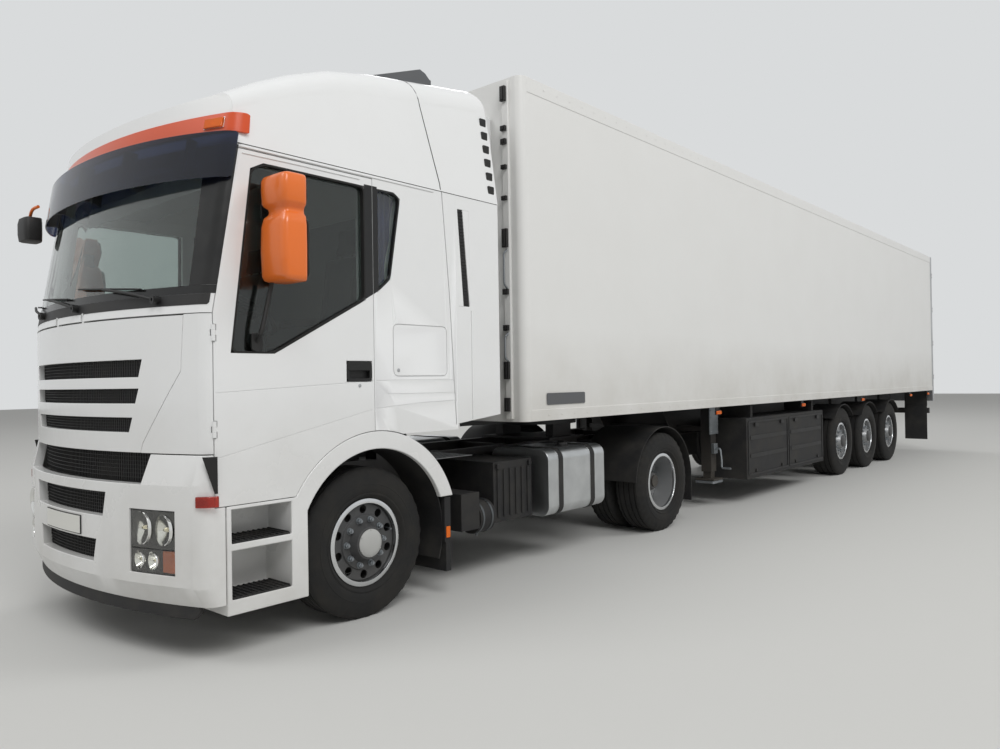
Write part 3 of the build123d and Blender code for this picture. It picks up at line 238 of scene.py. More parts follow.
# The slot of each material that scene-only pieces are made of
slot_of = {
    "cab_paint": (cab_enamel, plate_enamel), "mirror_paint": (mirror_orange, band_orange), "box_paint": (box_laminate,),
    "black_plastic": (black_moulding, grille_moulding, grey_moulding, seal_rubber), "rubber": (tyre_rubber,),
    "dash_plastic": (dash_moulding, trim_moulding), "glass": (black_ceramic, mirror_silver), "visor": (visor_acrylic,),
    "lamp": (lamp_lens, bulb_glass, amber_lens, red_lens, red_amber_lens, lamp_silver), "cast_iron": (cast_steel,),
    "aluminium": (strap_steel, stainless, galvanised, floor_aluminium), "seat_fabric": (seat_cloth, curtain_cloth),
}
slot_of = {material: slot for slot, group in slot_of.items() for material in group}


# Main sizes, in metres, in the frame that the construction model uses
front_axle = -6.8
drive_axle = -3.01
kingpin = -3.61
trailer_front = kingpin - 1.7
trailer_rear = kingpin + 11.76
trailer_axles = [kingpin + 6.24 + 1.31 * i for i in range(3)]
cab_half = 1.25
body_half = 1.3
cab_seam = 2.91
waist = 1.945
lean_rate = 0.17 / (cab_seam - waist)
roof_lean = 0.1407
nose_radius = 3.25
nose_reach = 1.41
nose_corner = 0.1
bumper_reach = 0.04
corner_angle = math.asin((cab_half - nose_corner) / (nose_radius - nose_corner))
arc_end = nose_radius * corner_angle
corner_end = arc_end + nose_corner * (math.pi / 2 - corner_angle)
# A turned solid's profile ends this near its axis
core = 0.0005


# Drawing in mesh code: every function adds solids to one open drawing, which add_piece or carve then takes
drawing = bmesh.new()


def take_drawing():
    """Hands over what has been drawn, and opens a new drawing."""
    global drawing
    done, drawing = drawing, bmesh.new()
    return done


def lay(points):
    """Puts a row of points into the drawing."""
    return [drawing.verts.new(point) for point in points]


def on_axis(axis, place, a, b):
    """A point from its place on an axis and its two lengths across it."""
    return {"X": (place, a, b), "Y": (a, place, b), "Z": (a, b, place)}[axis]


def join_rings(rings, closed=False):
    """Skins a row of rings of vertices, and closes the two ends or joins them."""
    count = len(rings[0])
    for first, second in zip(rings, rings[1:] + rings[:1] if closed else rings[1:]):
        for i in range(count):
            j = (i + 1) % count
            drawing.faces.new((first[i], first[j], second[j], second[i]))
    if not closed:
        drawing.faces.new(rings[0][::-1])
        drawing.faces.new(rings[-1])


def rounded(points, reach, closed=False):
    """A path or outline with its corners drawn round."""
    points = [Vector(p) for p in points]
    turns = list(zip(points, points[1:], points[2:]))
    if closed:
        turns = list(zip(points[-1:] + points[:-1], points, points[1:] + points[:1]))
    path = []
    for before, corner, after in turns:
        start = corner + (before - corner).normalized() * min(reach, (before - corner).length / 2.01)
        end = corner + (after - corner).normalized() * min(reach, (after - corner).length / 2.01)
        for t in (0.0, 0.2, 0.4, 0.6, 0.8, 1.0):
            path.append((1 - t) ** 2 * start + 2 * t * (1 - t) * corner + t * t * end)
    return path if closed else [points[0]] + path + [points[-1]]


def corners(left, right, low, high):
    """The four corners of a rectangle."""
    return [(left, low), (right, low), (right, high), (left, high)]


def beside_axle(outline):
    """An outline whose lengths start at the front axle, in the model's frame."""
    return [(front_axle + y, z) for y, z in outline]


def prism(outline, axis, low, high):
    """Extrudes an outline, drawn across an axis, between two places on that axis."""
    join_rings([lay(on_axis(axis, place, a, b) for a, b in outline) for place in sorted((low, high))])


def bar(x, y, z):
    """A straight-sided bar between two places on each axis."""
    prism(corners(*sorted(x), *y), "Z", *z)


def plate(left, right, low, high, radius, axis, start, end):
    """A rectangle with round corners, extruded between two places on an axis."""
    prism(rounded(corners(left, right, low, high), radius, True), axis, start, end)


def on_cab(side, outline, radius, inner, outer):
    """A shape on the cab's side, beside the front axle, between two distances from the side's face."""
    outline = beside_axle(outline)
    outline = rounded(outline, radius, True) if radius else outline
    prism(outline, "X", side * (cab_half + inner), side * (cab_half + outer))


def across_cab(outline, radius, left, right):
    """A side outline, beside the front axle, extruded across the cab."""
    prism(rounded(beside_axle(outline), radius, True), "X", left, right)


def frame_of(outline, width, axis, low, high):
    """A closed frame that follows an outline, as a seal or a rim does, with its inner edge set in."""
    centre = sum((Vector(p) for p in outline), Vector((0, 0))) / len(outline)
    count = len(outline)
    inner = []
    for i in range(count):
        before, here, after = (Vector(outline[(i + k) % count]) for k in (-1, 0, 1))
        along = (after - before).normalized()
        across = Vector((-along.y, along.x))
        inner.append(here + across * (width if across.dot(centre - here) >= 0 else -width))
    for i in range(count):
        j = (i + 1) % count
        quad = [outline[i], outline[j], inner[j], inner[i]]
        c = lay(on_axis(axis, place, a, b) for place in (low, high) for a, b in quad)
        for face in (c[:4][::-1], c[4:], (c[0], c[1], c[5], c[4]), (c[3], c[7], c[6], c[2])):
            drawing.faces.new(face)


def turned(profile, centre, steps=64, side=1, axis="X", lugs=()):
    """Turns a closed profile of (along, radius) round an axis; the points in lugs drop on every other step."""
    rings = []
    for step in range(steps):
        angle = 2 * math.pi * step / steps
        ring = []
        for index, (along, radius) in enumerate(profile):
            if index in lugs and step % 4 >= 2:
                radius -= lugs[index]
            ring.append(Vector(centre) + Vector(on_axis(axis, side * along, radius * math.cos(angle),
                                                        radius * math.sin(angle))))
        rings.append(lay(ring))
    join_rings(rings, closed=True)


def stud(profile, centre, steps, side=1, axis="X", lugs=()):
    """A turned solid with two flat ends, closed at its axis."""
    turned([(profile[0][0], core), *profile, (profile[-1][0], core)], centre, steps, side, axis, lugs)


def lock(side, y, z):
    """A round lock on the cab's side."""
    stud([(0.0002, 0.011), (0.003, 0.011), (0.004, 0.009)], (side * cab_half, front_axle + y, z), 24, side)


def dome(centre, radius, height, axis="X", side=1, steps=6):
    """A low round head, as rivets and bolts have."""
    turned([(0.0002, 0.0003), (0.0002, radius), (height * 0.6, radius * 0.75), (height, radius * 0.3),
            (height, 0.0003)], centre, steps, side, axis)


def sweep(path, radius, count=12):
    """A round bar, pipe or hose that follows a path."""
    points = [Vector(p) for p in path]
    rings = []
    for i, point in enumerate(points):
        direction = (points[min(i + 1, len(points) - 1)] - points[max(i - 1, 0)]).normalized()
        helper = Vector((0, 0, 1)) if abs(direction.z) < 0.9 else Vector((0, 1, 0))
        across = direction.cross(helper).normalized()
        up = across.cross(direction).normalized()
        turns = [2 * math.pi * k / count for k in range(count)]
        rings.append(lay(point + radius * (math.cos(t) * across + math.sin(t) * up) for t in turns))
    join_rings(rings)


def soft_loft(stations, count=32, power=3.2):
    """A moulded shell: rounded sections (z, x, opposite x, y low, y high) skinned from bottom to top."""
    rings = []
    for z, *x, y_low, y_high in stations:
        x_low, x_high = sorted(x)
        ring = []
        for k in range(count):
            t = 2 * math.pi * k / count
            u = math.copysign(abs(math.cos(t)) ** (2 / power), math.cos(t))
            v = math.copysign(abs(math.sin(t)) ** (2 / power), math.sin(t))
            ring.append(((x_low + x_high) / 2 + u * (x_high - x_low) / 2,
                         (y_low + y_high) / 2 + v * (y_high - y_low) / 2, z))
        rings.append(lay(ring))
    join_rings(rings)


def ribbon(path, width, axis, low, high, closed=False):
    """A strip or groove of even width along a path, between two places on an axis."""
    points = [Vector(p) for p in path]
    count = len(points)
    low, high = sorted((low, high))
    rings = []
    for i, here in enumerate(points):
        arrive = here - points[i - 1] if i or closed else points[1] - here
        leave = points[(i + 1) % count] - here if i < count - 1 or closed else arrive
        along = (arrive.normalized() + leave.normalized()).normalized()
        across = Vector((-along.y, along.x)) * width / 2 / max(along.dot(arrive.normalized()), 0.4)
        rings.append(lay(on_axis(axis, place, *edge) for place, edge in
                         ((low, here - across), (low, here + across), (high, here + across), (high, here - across))))
    join_rings(rings, closed)


def skin_point(along, z, out=0.0):
    """A point on the cab's front, by its distance round the cab from the middle, its height and its depth."""
    side, reach = math.copysign(1, along), abs(along)
    centre_y = front_axle + nose_radius - nose_reach + lean_rate * max(0.0, z - waist)
    corner_y = centre_y - (nose_radius - nose_corner) * math.cos(corner_angle)
    if reach <= arc_end:
        angle = reach / nose_radius
        x, y = (nose_radius + out) * math.sin(angle), centre_y - (nose_radius + out) * math.cos(angle)
    elif reach <= corner_end:
        angle = corner_angle + (reach - arc_end) / nose_corner
        x = cab_half - nose_corner + (nose_corner + out) * math.sin(angle)
        y = corner_y - (nose_corner + out) * math.cos(angle)
    else:
        x, y = cab_half + out, corner_y + reach - corner_end
    return Vector((side * x, y, z))


def on_skin(x):
    """How far round the cab the place at a distance from the middle lies."""
    return nose_radius * math.asin(x / nose_radius)


def spread(left, right, columns):
    """Places between two ends along the cab's front, closer together round its two corners."""
    if left > arc_end or right < -arc_end:
        return [left + (right - left) * c / columns for c in range(columns + 1)]
    low, high = max(left, -arc_end), min(right, arc_end)
    places = [left + (low - left) * c / 8 for c in range(8)] if left < -arc_end - 0.001 else []
    places += [low + (high - low) * c / columns for c in range(columns + 1)]
    return places + ([high + (right - high) * c / 8 for c in range(1, 9)] if right > arc_end + 0.001 else [])


def skin_patch(rows, inner, outer, columns=24):
    """A panel on the cab's front, between two depths: each row is a height and the panel's two ends there."""
    layers = [[lay(skin_point(along, z, out(along) if callable(out) else out)
                   for along in spread(*sorted(ends), columns)) for z, *ends in rows] for out in (inner, outer)]
    columns, last = len(layers[0][0]) - 1, len(rows) - 1
    for layer in layers:
        for r in range(last):
            for c in range(columns):
                drawing.faces.new((layer[r][c], layer[r][c + 1], layer[r + 1][c + 1], layer[r + 1][c]))
    border = [(0, c) for c in range(columns + 1)] + [(r, columns) for r in range(1, last + 1)]
    border += [(last, c) for c in range(columns - 1, -1, -1)] + [(r, 0) for r in range(last - 1, 0, -1)]
    for (r, c), (p, q) in zip(border, border[1:] + border[:1]):
        drawing.faces.new((layers[0][r][c], layers[0][p][q], layers[1][p][q], layers[1][r][c]))


def skin_box(low, high, left, right, inner, outer, columns=24):
    """A panel on the cab's front with the same two ends at both heights."""
    skin_patch([(low, left, right), (high, left, right)], inner, outer, columns)


# Pieces
def own(piece, body, material, smooth_deg=30.0):
    """Shades a finished mesh, gives it its material, and lets it ride on a body."""
    for polygon in piece.data.polygons:
        polygon.use_smooth = True
    piece.data.set_sharp_from_angle(angle=math.radians(smooth_deg))
    piece.data.materials.clear()
    piece.data.materials.append(material)
    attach(piece, body)
    return piece


def from_drawing(name, done):
    """Turns a drawing into a linked object."""
    mesh = bpy.data.meshes.new(name)
    done.to_mesh(mesh)
    done.free()
    made = bpy.data.objects.new(name, mesh)
    bpy.context.scene.collection.objects.link(made)
    return made


def round_edges(piece, width, segments=2):
    """Rounds the hard edges, as paint, moulds and presses do."""
    bevel = piece.modifiers.new("edges", "BEVEL")
    bevel.width = width
    bevel.segments = segments
    bevel.limit_method = "ANGLE"
    bevel.angle_limit = math.radians(35.0)
    bevel.use_clamp_overlap = True


def flatten_shading(piece):
    """Lets large faces keep flat shading beside rounded edges."""
    weighted = piece.modifiers.new("shading", "WEIGHTED_NORMAL")
    weighted.keep_sharp = True
    weighted.weight = 50


def add_piece(name, body, material, edge_mm=0.0, smooth_deg=35.0, segments=2):
    """Closes the drawing into a named piece of the scene."""
    done = take_drawing()
    bmesh.ops.remove_doubles(done, verts=done.verts, dist=0.02 * mm)
    bmesh.ops.recalc_face_normals(done, faces=done.faces)
    piece = own(from_drawing(name, done), body, material, smooth_deg)
    if edge_mm:
        round_edges(piece, edge_mm * mm, segments)
        flatten_shading(piece)
    return piece


def evaluated_mesh(piece):
    """A piece's mesh with its modifiers applied."""
    bpy.context.view_layer.update()
    return bpy.data.meshes.new_from_object(piece.evaluated_get(bpy.context.evaluated_depsgraph_get()))


def carve(piece):
    """Cuts the drawing out of a piece, and keeps the result as its mesh."""
    cutter = take_drawing()
    bmesh.ops.recalc_face_normals(cutter, faces=cutter.faces)
    others = list(piece.modifiers)
    cut = piece.modifiers.new("carve", "BOOLEAN")
    cut.operation = "DIFFERENCE"
    cut.solver = "EXACT"
    cut.object = from_drawing("cutter", cutter)
    for modifier in others:
        modifier.show_viewport = False
    piece.data = evaluated_mesh(piece)
    for modifier in others:
        modifier.show_viewport = True
    tool = cut.object
    piece.modifiers.remove(cut)
    bpy.data.objects.remove(tool)


node_body = {node: body for body, group in frame["record"]["behaviour"]["bodies"].items() for node in group}


def dress(node, material, radius_mm):
    """A finished copy of a construction piece: same place and form, with its edges rounded."""
    shape = bmesh.new()
    shape.from_mesh(nodes[node].data)
    bmesh.ops.remove_doubles(shape, verts=shape.verts, dist=0.02 * mm)
    bmesh.ops.dissolve_limit(shape, angle_limit=math.radians(0.6), verts=shape.verts, edges=shape.edges)
    piece = from_drawing(f"{node}_finished", shape)
    if radius_mm:
        round_edges(piece, radius_mm * mm)
    own(piece, node_body[node], material)
    flatten_shading(piece)
    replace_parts(piece, node)
    return piece


# Construction pieces that keep their form and take a rounded edge, in mm, and a finish
finishes = [(node, material, radius) for material, rows in (
    (chassis_paint, {"tractor_frame": 3, "engine": 15, "front_axle": 5, "rear_axle": 5, "trailer_chassis": 3,
                     "trailer_axles": 4}),
    (cab_enamel, {"cab_shell": 5, "cab_roof": 6, "corner_panels": 6, "front_flap": 4, "front_bumper": 7,
                  "entry_steps": 6, "side_fairings": 5, "fridge_unit": 12, "door_left": 5, "door_right": 5}),
    (black_moulding, {"front_mudguards": 4, "rear_mudguards": 3, "pallet_boxes": 5, "trailer_guards": 3}),
    (box_laminate, {"box_sides": 1.5, "box_roof": 2, "box_front_wall": 2, "rear_door_left": 3, "rear_door_right": 3}),
    (screen_glass, {"cab_glass": 0}), (side_glass, {"door_glass_left": 0, "door_glass_right": 0}),
    (dash_moulding, {"dashboard": 12}), (tank_aluminium, {"side_tanks": 5}), (floor_aluminium, {"box_floor": 2}),
    (stainless, {"rear_frame": 4}), (cast_steel, {"fifth_wheel": 4, "knuckle_left": 4, "knuckle_right": 4}),
    (dark_wheel_enamel, {"front_rim_left": 3, "front_rim_right": 3}),
    (wheel_enamel, {f"{rim}_{name}{axle}": 3 for _, name in sides for rim, axle in
                    (("drive_rims", ""), ("trailer_rim", "_1"), ("trailer_rim", "_2"), ("trailer_rim", "_3"))}),
) for node, radius in rows.items()]
finished = {node: dress(node, material, radius) for node, material, radius in finishes}


# Windscreen: the black ceramic border, the cowl below it and three parked wipers
door_edge = corner_end - 0.028
for low, high in ((2.052, 2.098), (2.818, 2.9)):
    skin_box(low, high, -door_edge, door_edge, 0.0002, 0.0014, 48)
for side, name in sides:
    skin_patch([(2.099, side * on_skin(1.115), side * door_edge), (2.817, side * on_skin(1.085), side * door_edge)],
               0.0002, 0.0014, 8)
add_piece("windscreen_border", "tractor", black_ceramic, 0, 40)
skin_patch([(1.99, -1.27, 1.27), (2.002, -1.28, 1.28), (2.0515, -1.28, 1.28)], -0.012, 0.003, 48)
add_piece("windscreen_cowl", "tractor", grille_moulding, 1.5)
for pivot, reach in ((0.92, -0.74), (0.12, -0.7), (-0.55, -0.62)):
    base = skin_point(pivot, 2.03, 0.018)
    knee = skin_point(pivot + 0.25 * reach, 2.075, 0.042)
    tip = skin_point(pivot + 0.62 * reach, 2.118, 0.036)
    turned([(-0.02, 0.01), (0.022, 0.01), (0.022, 0.022), (-0.02, 0.026)], base, 20, axis="Y")
    sweep(rounded([base, knee, tip], 0.05), 0.0085, 8)
    for out, radius, count in ((0.02, 0.006, 6), (0.008, 0.0045, 4)):
        blade = [skin_point(pivot + reach * (0.18 + 0.08 * k), 2.098 + 0.0045 * k, out) for k in range(12)]
        sweep(blade, radius, count)
add_piece("wipers", "tractor", grille_moulding, 0)

# Orange band over the visor, its two marker lamps, and the visor with its stays
skin_patch([(z, -corner_end - grow, corner_end + grow) for z, grow in
            ((2.972, 0.0), (2.976, 0.02), (3.078, 0.01), (3.086, -0.01))], -0.05, 0.01, 64)
add_piece("roof_band", "tractor", band_orange, 3)
for side, name in sides:
    left, right = sorted((side * 1.075, side * 1.215))
    skin_box(2.998, 3.06, left, right, 0.0095, 0.014, 10)
    add_piece(f"roof_marker_base_{name}", "tractor", lamp_silver, 1)
    skin_patch([(z, left + inset, right - inset) for z, inset in
                ((3.002, 0.004), (3.01, 0.008), (3.048, 0.008), (3.056, 0.004))], 0.0142, 0.026, 10)
    add_piece(f"roof_marker_lens_{name}", "tractor", amber_lens, 3)


def visor_reach(along):
    """How far the visor stands off the cab: less towards the two corners."""
    return 0.018 + 0.062 * max(0.0, 1 - (abs(along) / (corner_end - 0.01)) ** 4)


visor_end = corner_end - 0.04
skin_patch([(z, -visor_end + inset, visor_end - inset) for z, inset in
            ((2.7, 0.02), (2.712, 0.0), (2.84, 0.0), (2.958, 0.0), (2.968, 0.01))],
           visor_reach, lambda along: visor_reach(along) + 0.006, 48)
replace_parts(add_piece("visor_shield", "tractor", visor_acrylic, 1), "sun_visor")
for along in (-1.02, -0.52, 0.0, 0.52, 1.02):
    skin_box(2.73, 2.94, along - 0.012, along + 0.012, 0.001, visor_reach(along) - 0.0005, 2)
add_piece("visor_stays", "tractor", grille_moulding, 1.5)


def slot_mesh_on_shade_sheet(low, high, reach, back, sheet, columns, rows, upright, level, upright_proud, level_proud, over):
    """Black mesh behind a slot of the nose: upright and level bars standing off a thin solid black sheet; the sheet is
    painted shade, standing in for the shaded depth behind the slot.
    """
    front = back + sheet
    skin_box(low - 0.006, high + 0.006, -reach, reach, back, front, 32)
    for c in range(columns + 1):
        along = -reach + 2 * reach * c / columns
        skin_box(low - over, high + over, along - upright, along + upright, front, back + upright_proud, 1)
    for r in range(1, rows):
        z = low + (high - low) * r / rows
        skin_box(z - level, z + level, -reach, reach, front, back + level_proud, 24)


# Front flap's slots: black mesh bars over a solid black sheet, which is painted shade for the depth behind the slots
for half, low, high in ((0.8, 1.6, 1.7), (0.77, 1.45, 1.535), (0.715, 1.285, 1.37)):
    slot_mesh_on_shade_sheet(low, high, on_skin(half) + 0.006, -0.039, 0.0018, 74, 5, 0.0012, 0.0013, 0.0055, 0.006, 0.004)
add_piece("flap_bars_on_shade_sheet", "front_flap", grille_moulding)
# Bumper's slots: black mesh bars over a solid black sheet, which is painted shade for the depth behind the slots
for half, low, high, depth in ((0.865, 1.0, 1.165, 0.095), (0.53, 0.8, 0.94, 0.0595), (0.43, 0.53, 0.66, 0.0595)):
    reach = on_skin(half) + 0.008
    slot_mesh_on_shade_sheet(low, high, reach, bumper_reach - depth, 0.0025, round(2 * reach / 0.022), 7, 0.0013, 0.0015, 0.0075,
               0.0085, 0.0)
add_piece("bumper_bars_on_shade_sheet", "tractor", grille_moulding)

# The rubber lip under the bumper and the blank plate
skin_patch([(0.262, -1.16, 1.16), (0.3, -1.2, 1.2), (0.35, -1.2, 1.2)], -0.052, -0.018, 40)
add_piece("bumper_lip", "tractor", black_moulding, 6)
skin_box(0.672, 0.786, -0.262, 0.262, bumper_reach + 0.001, bumper_reach + 0.006, 10)
add_piece("plate_holder", "tractor", black_moulding, 1.5)
skin_box(0.677, 0.781, -0.256, 0.256, bumper_reach + 0.0062, bumper_reach + 0.0078, 10)
add_piece("front_plate", "tractor", plate_enamel, 0.6)

# Headlamps: a dark tray with two bowls above, two round lamps and an amber part below, behind clear lenses
bowls = (  # along, height, bowl's radius, bulb's radius
    (0.825, 0.756, 0.088, 0.012), (0.985, 0.752, 0.08, 0.012),
    (0.805, 0.578, 0.046, 0.009), (0.91, 0.578, 0.046, 0.009))
tray_back = bumper_reach - 0.056
tray_front = bumper_reach - 0.0045
for side, name in sides:
    left, right = sorted((side * on_skin(0.7435), side * on_skin(1.0765)))
    skin_box(0.5095, 0.8605, left, right, bumper_reach - 0.0595, tray_back, 8)
    skin_box(0.64, 0.652, left, right, tray_back, bumper_reach - 0.01, 8)
    for low, high in ((0.5095, 0.516), (0.854, 0.8605)):
        skin_box(low, high, left, right, tray_back, tray_front, 8)
    for along in (left, right - 0.006):
        skin_box(0.516, 0.854, along, along + 0.006, tray_back, tray_front, 2)
    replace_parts(add_piece(f"headlamp_tray_{name}", "tractor", grille_moulding, 1), "headlamps")
    centres = [skin_point(side * on_skin(along), z, bumper_reach - 0.054) for along, z, _, _ in bowls]
    for centre, (_, _, bowl, _) in zip(centres, bowls):
        profile = [(-0.046 * (0.15 + 0.85 * (r / 8) ** 2), bowl * max(r, 0.3) / 8) for r in range(9)]
        turned(profile + [(-0.046, bowl + 0.006), (-0.03, bowl + 0.008), (-0.002, 0.012)], centre, 32, axis="Y")
    add_piece(f"headlamp_bowls_{name}", "tractor", lamp_silver, 0, 50)
    for centre, (_, _, _, bulb) in zip(centres, bowls):
        turned([(-0.002, 0.001), (-0.002, bulb), (-0.026, bulb), (-0.036, bulb * 0.6), (-0.04, 0.001)],
               centre, 20, axis="Y")
    add_piece(f"headlamp_bulbs_{name}", "tractor", bulb_glass, 0, 50)
    skin_box(0.517, 0.639, side * on_skin(0.972), side * (on_skin(1.0765) - 0.006), bumper_reach - 0.054,
             bumper_reach - 0.012, 6)
    add_piece(f"indicator_{name}", "tractor", amber_lens, 6)
    for low, high in ((0.511, 0.643), (0.649, 0.859)):
        skin_box(low, high, left + 0.001, right - 0.001, bumper_reach - 0.007, bumper_reach - 0.0035, 12)
    add_piece(f"headlamp_lens_{name}", "tractor", lamp_lens, 1)
    skin_box(0.888, 0.948, side * (corner_end - 0.105), side * (corner_end - 0.022), bumper_reach + 0.0005,
             bumper_reach + 0.014, 8)
    add_piece(f"corner_marker_{name}", "tractor", red_amber_lens, 4)
    # Black filler where the bumper's shoulder meets the door
    skin_patch([(z, side * (corner_end - inset), side * (corner_end - 0.024)) for z, inset in
                ((0.96, 0.036), (1.16, 0.08))], bumper_reach + 0.0005, bumper_reach + 0.0022, 4)
    add_piece(f"bumper_filler_{name}", "tractor", seal_rubber)

# Behind the front flap: a recess with the condenser's fins, its frame, filler necks, a hose and the washer tank
skin_box(1.25, 1.76, -0.7, 0.7, -0.104, -0.02)
carve(finished["cab_shell"])
skin_box(1.2503, 1.7597, -0.6997, 0.6997, -0.1037, -0.101)
for k in range(62):
    along = -0.46 + 0.015 * k
    skin_box(1.3, 1.6, along - 0.0011, along + 0.0011, -0.0935, -0.08, 1)
add_piece("condenser_fins", "tractor", strap_steel)
for z in (1.27, 1.604):
    skin_box(z, z + 0.026, -0.5, 0.5, -0.1008, -0.072, 12)
for along in (-0.49, 0.466):
    skin_box(1.2965, 1.6035, along, along + 0.024, -0.1008, -0.072, 1)
for k in range(9):
    skin_box(1.316 + 0.033 * k, 1.324 + 0.033 * k, -0.466, 0.466, -0.1005, -0.094, 12)
for along, radius in ((-0.6, 0.034), (-0.21, 0.026), (0.25, 0.03)):
    neck = skin_point(along, 1.695, -0.0725)
    stud([(0.0, radius), (-0.022, radius), (-0.028, radius * 0.8)], neck, 28, 1, "Y", {1: 0.002, 2: 0.002})
    stud([(0.0003, radius * 0.7), (0.028, radius * 0.7)], neck, 20, 1, "Y")
sweep(rounded([skin_point(0.52, 1.3, -0.086), skin_point(0.58, 1.45, -0.08), skin_point(0.52, 1.64, -0.084),
               skin_point(0.3, 1.668, -0.084)], 0.08), 0.012, 10)
add_piece("nose_fittings", "tractor", grille_moulding, 0, 40)
skin_patch([(1.29, -0.68, -0.52), (1.3, -0.688, -0.512), (1.61, -0.688, -0.512), (1.64, -0.66, -0.54)],
           -0.1005, -0.06, 8)
add_piece("washer_tank", "tractor", plate_enamel, 8)

# Doors: rubber seals, black ceramic at the window's rear, handle and lock
window_hole = [(-1.02, 1.725), (-0.885, 2.78), (-0.8, 2.825), (-0.06, 2.825), (-0.06, 2.085), (-0.74, 1.725)]
quarter_hole = [(0.035, 2.14), (0.15, 2.235), (0.245, 2.79), (0.19, 2.825), (0.035, 2.825)]
for side, name in sides:
    face = side * cab_half
    door = f"door_{name}"
    frame_of(rounded(beside_axle(window_hole), 0.05, True), 0.012, "X", face - side * 0.034, face + side * 0.0012)
    add_piece(f"window_seal_{name}", door, seal_rubber)
    on_cab(side, [(-0.064, 2.09), (-0.064, 2.836), (-0.0005, 2.836), (-0.0005, 2.126)], 0, 0.0002, 0.0016)
    add_piece(f"window_post_{name}", door, black_ceramic)
    on_cab(side, [(0.0045, 2.128), (0.0045, 2.836), (0.042, 2.836), (0.042, 2.15)], 0, 0.0002, 0.0016)
    frame_of(rounded(beside_axle(quarter_hole), 0.04, True), 0.012, "X", face - side * 0.03, face + side * 0.0012)
    add_piece(f"quarter_border_{name}", "tractor", black_ceramic)
    # Recess behind the door's pull: a black cup and a broad pull bar
    cup = corners(-0.222, -0.018, 1.557, 1.688)
    frame_of(rounded(beside_axle(cup), 0.035, True), 0.02, "X", face - side * 0.029, face + side * 0.002)
    on_cab(side, cup, 0.035, -0.0298, -0.027)
    on_cab(side, corners(-0.214, -0.026, 1.628, 1.672), 0.012, -0.019, 0.004)
    add_piece(f"door_pull_{name}", door, grille_moulding, 1.5)
    lock(side, -0.12, 1.53)
    add_piece(f"door_lock_{name}", door, stainless, 0)

    # Mirrors: two moulded shells on one arm, with glass that faces the rear
    x_in, x_out = side * 1.274, side * 1.534
    front, rear = front_axle - 0.85, front_axle - 0.688
    rows = [(2.128, 0.02, 0.03), (2.136, 0.006, 0.012), (2.16, 0.0, 0.0), (2.3, -0.004, -0.004),
            (2.44, -0.002, 0.0), (2.49, 0.01, 0.01), (2.507, 0.034, 0.026), (2.524, 0.04, 0.03),
            (2.541, 0.034, 0.026), (2.556, 0.01, 0.012), (2.572, 0.002, 0.004), (2.65, 0.0, 0.0),
            (2.704, 0.0, 0.002), (2.722, 0.012, 0.01), (2.73, 0.034, 0.03)]
    soft_loft([(z, x_in + side * dx, x_out - side * dx * 0.8, front + dy, rear) for z, dx, dy in rows], 40, 6.0)
    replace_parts(add_piece(f"mirror_shell_{name}", door, mirror_orange, 0, 50), f"mirror_{name}")
    outlines = [rounded(corners(x_in + side * inset, x_out - side * inset, low, high), radius, True)
                for inset, low, high, radius in ((0.012, 2.15, 2.478, 0.03), (0.026, 2.576, 2.708, 0.025))]
    for outline, width in zip(outlines, (0.01, 0.009)):
        frame_of(outline, width, "Y", rear - 0.004, rear + 0.006)
    add_piece(f"mirror_bezels_{name}", door, grille_moulding, 1)
    for outline in outlines:
        middle = sum((Vector(p) for p in outline), Vector((0, 0))) / len(outline)
        prism([middle + (Vector(p) - middle) * 0.97 for p in outline], "Y", rear - 0.002, rear + 0.002)
    add_piece(f"mirror_glass_{name}", door, mirror_silver, 0.5)
    for path, reach, radius in (
            (((face + side * 0.002, -0.79, 2.545), (face + side * 0.045, -0.8, 2.56),
              (x_in + side * 0.06, -0.8, 2.6)), 0.02, 0.014),
            (((face + side * 0.002, -0.86, 1.79), (face + side * 0.05, -0.86, 1.83), (x_in + side * 0.035, -0.79, 2.13),
              (x_in + side * 0.05, -0.78, 2.2)), 0.06, 0.013)):
        sweep(rounded([(x, front_axle + y, z) for x, y, z in path], reach), radius)
    for z, y in ((2.545, -0.79), (1.79, -0.86)):
        on_cab(side, corners(y - 0.035, y + 0.035, z - 0.05, z + 0.05), 0.02, 0.0003, 0.012)
    add_piece(f"mirror_arm_{name}", door, grille_moulding, 2)

    # Fairing's black slot with its fins, its fillers, and the vents in the roof's leaning side
    on_cab(side, [(0.856, 2.1005), (0.9195, 2.1005), (0.853, 2.8095), (0.8005, 2.8095)], 0, -0.0119, -0.006)
    for k in range(29):
        z = 2.116 + 0.024 * k
        lead = front_axle + 0.856 - 0.0783 * (z - 2.1005)
        bar((face - side * 0.0119, face - side * 0.001), (lead + 0.004, lead + 0.052), (z, z + 0.007))
    add_piece(f"fairing_slot_{name}", "tractor", grille_moulding, 0.6)
    on_cab(side, [(0.8003, 2.1005), (0.854, 2.1005), (0.8003, 2.79)], 0, -0.0119, -0.0002)
    on_cab(side, [(0.9197, 2.106), (0.9197, 2.8095), (0.8545, 2.8095)], 0, -0.0119, -0.0002)
    add_piece(f"fairing_filler_{name}", "tractor", cab_enamel, 1)
    for k in range(6):
        z = 2.985 + 0.108 * k
        lean_in = roof_lean * (z + 0.03 - cab_seam)
        on_cab(side, corners(1.155, 1.222, z, z + 0.06), 0.01, -lean_in - 0.008, -lean_in + 0.0055)
    add_piece(f"roof_vents_{name}", "tractor", grille_moulding, 1)


# Cab sides: pressed lines, shut lines, drip rails and the roof's seams
def press_lines(node, side, lines, width_mm, depth_mm, closed=False):
    """Presses narrow grooves into the side of a finished piece."""
    bottom, clear_of_face = side * (cab_half - depth_mm * mm), side * (cab_half + 0.02)
    for line in lines:
        ribbon(beside_axle(line), width_mm * mm, "X", bottom, clear_of_face, closed)
    carve(finished[node])


roof = bmesh.new()
roof.from_mesh(nodes["cab_roof"].data)
roof_surface = BVHTree.FromBMesh(roof)
roof.free()

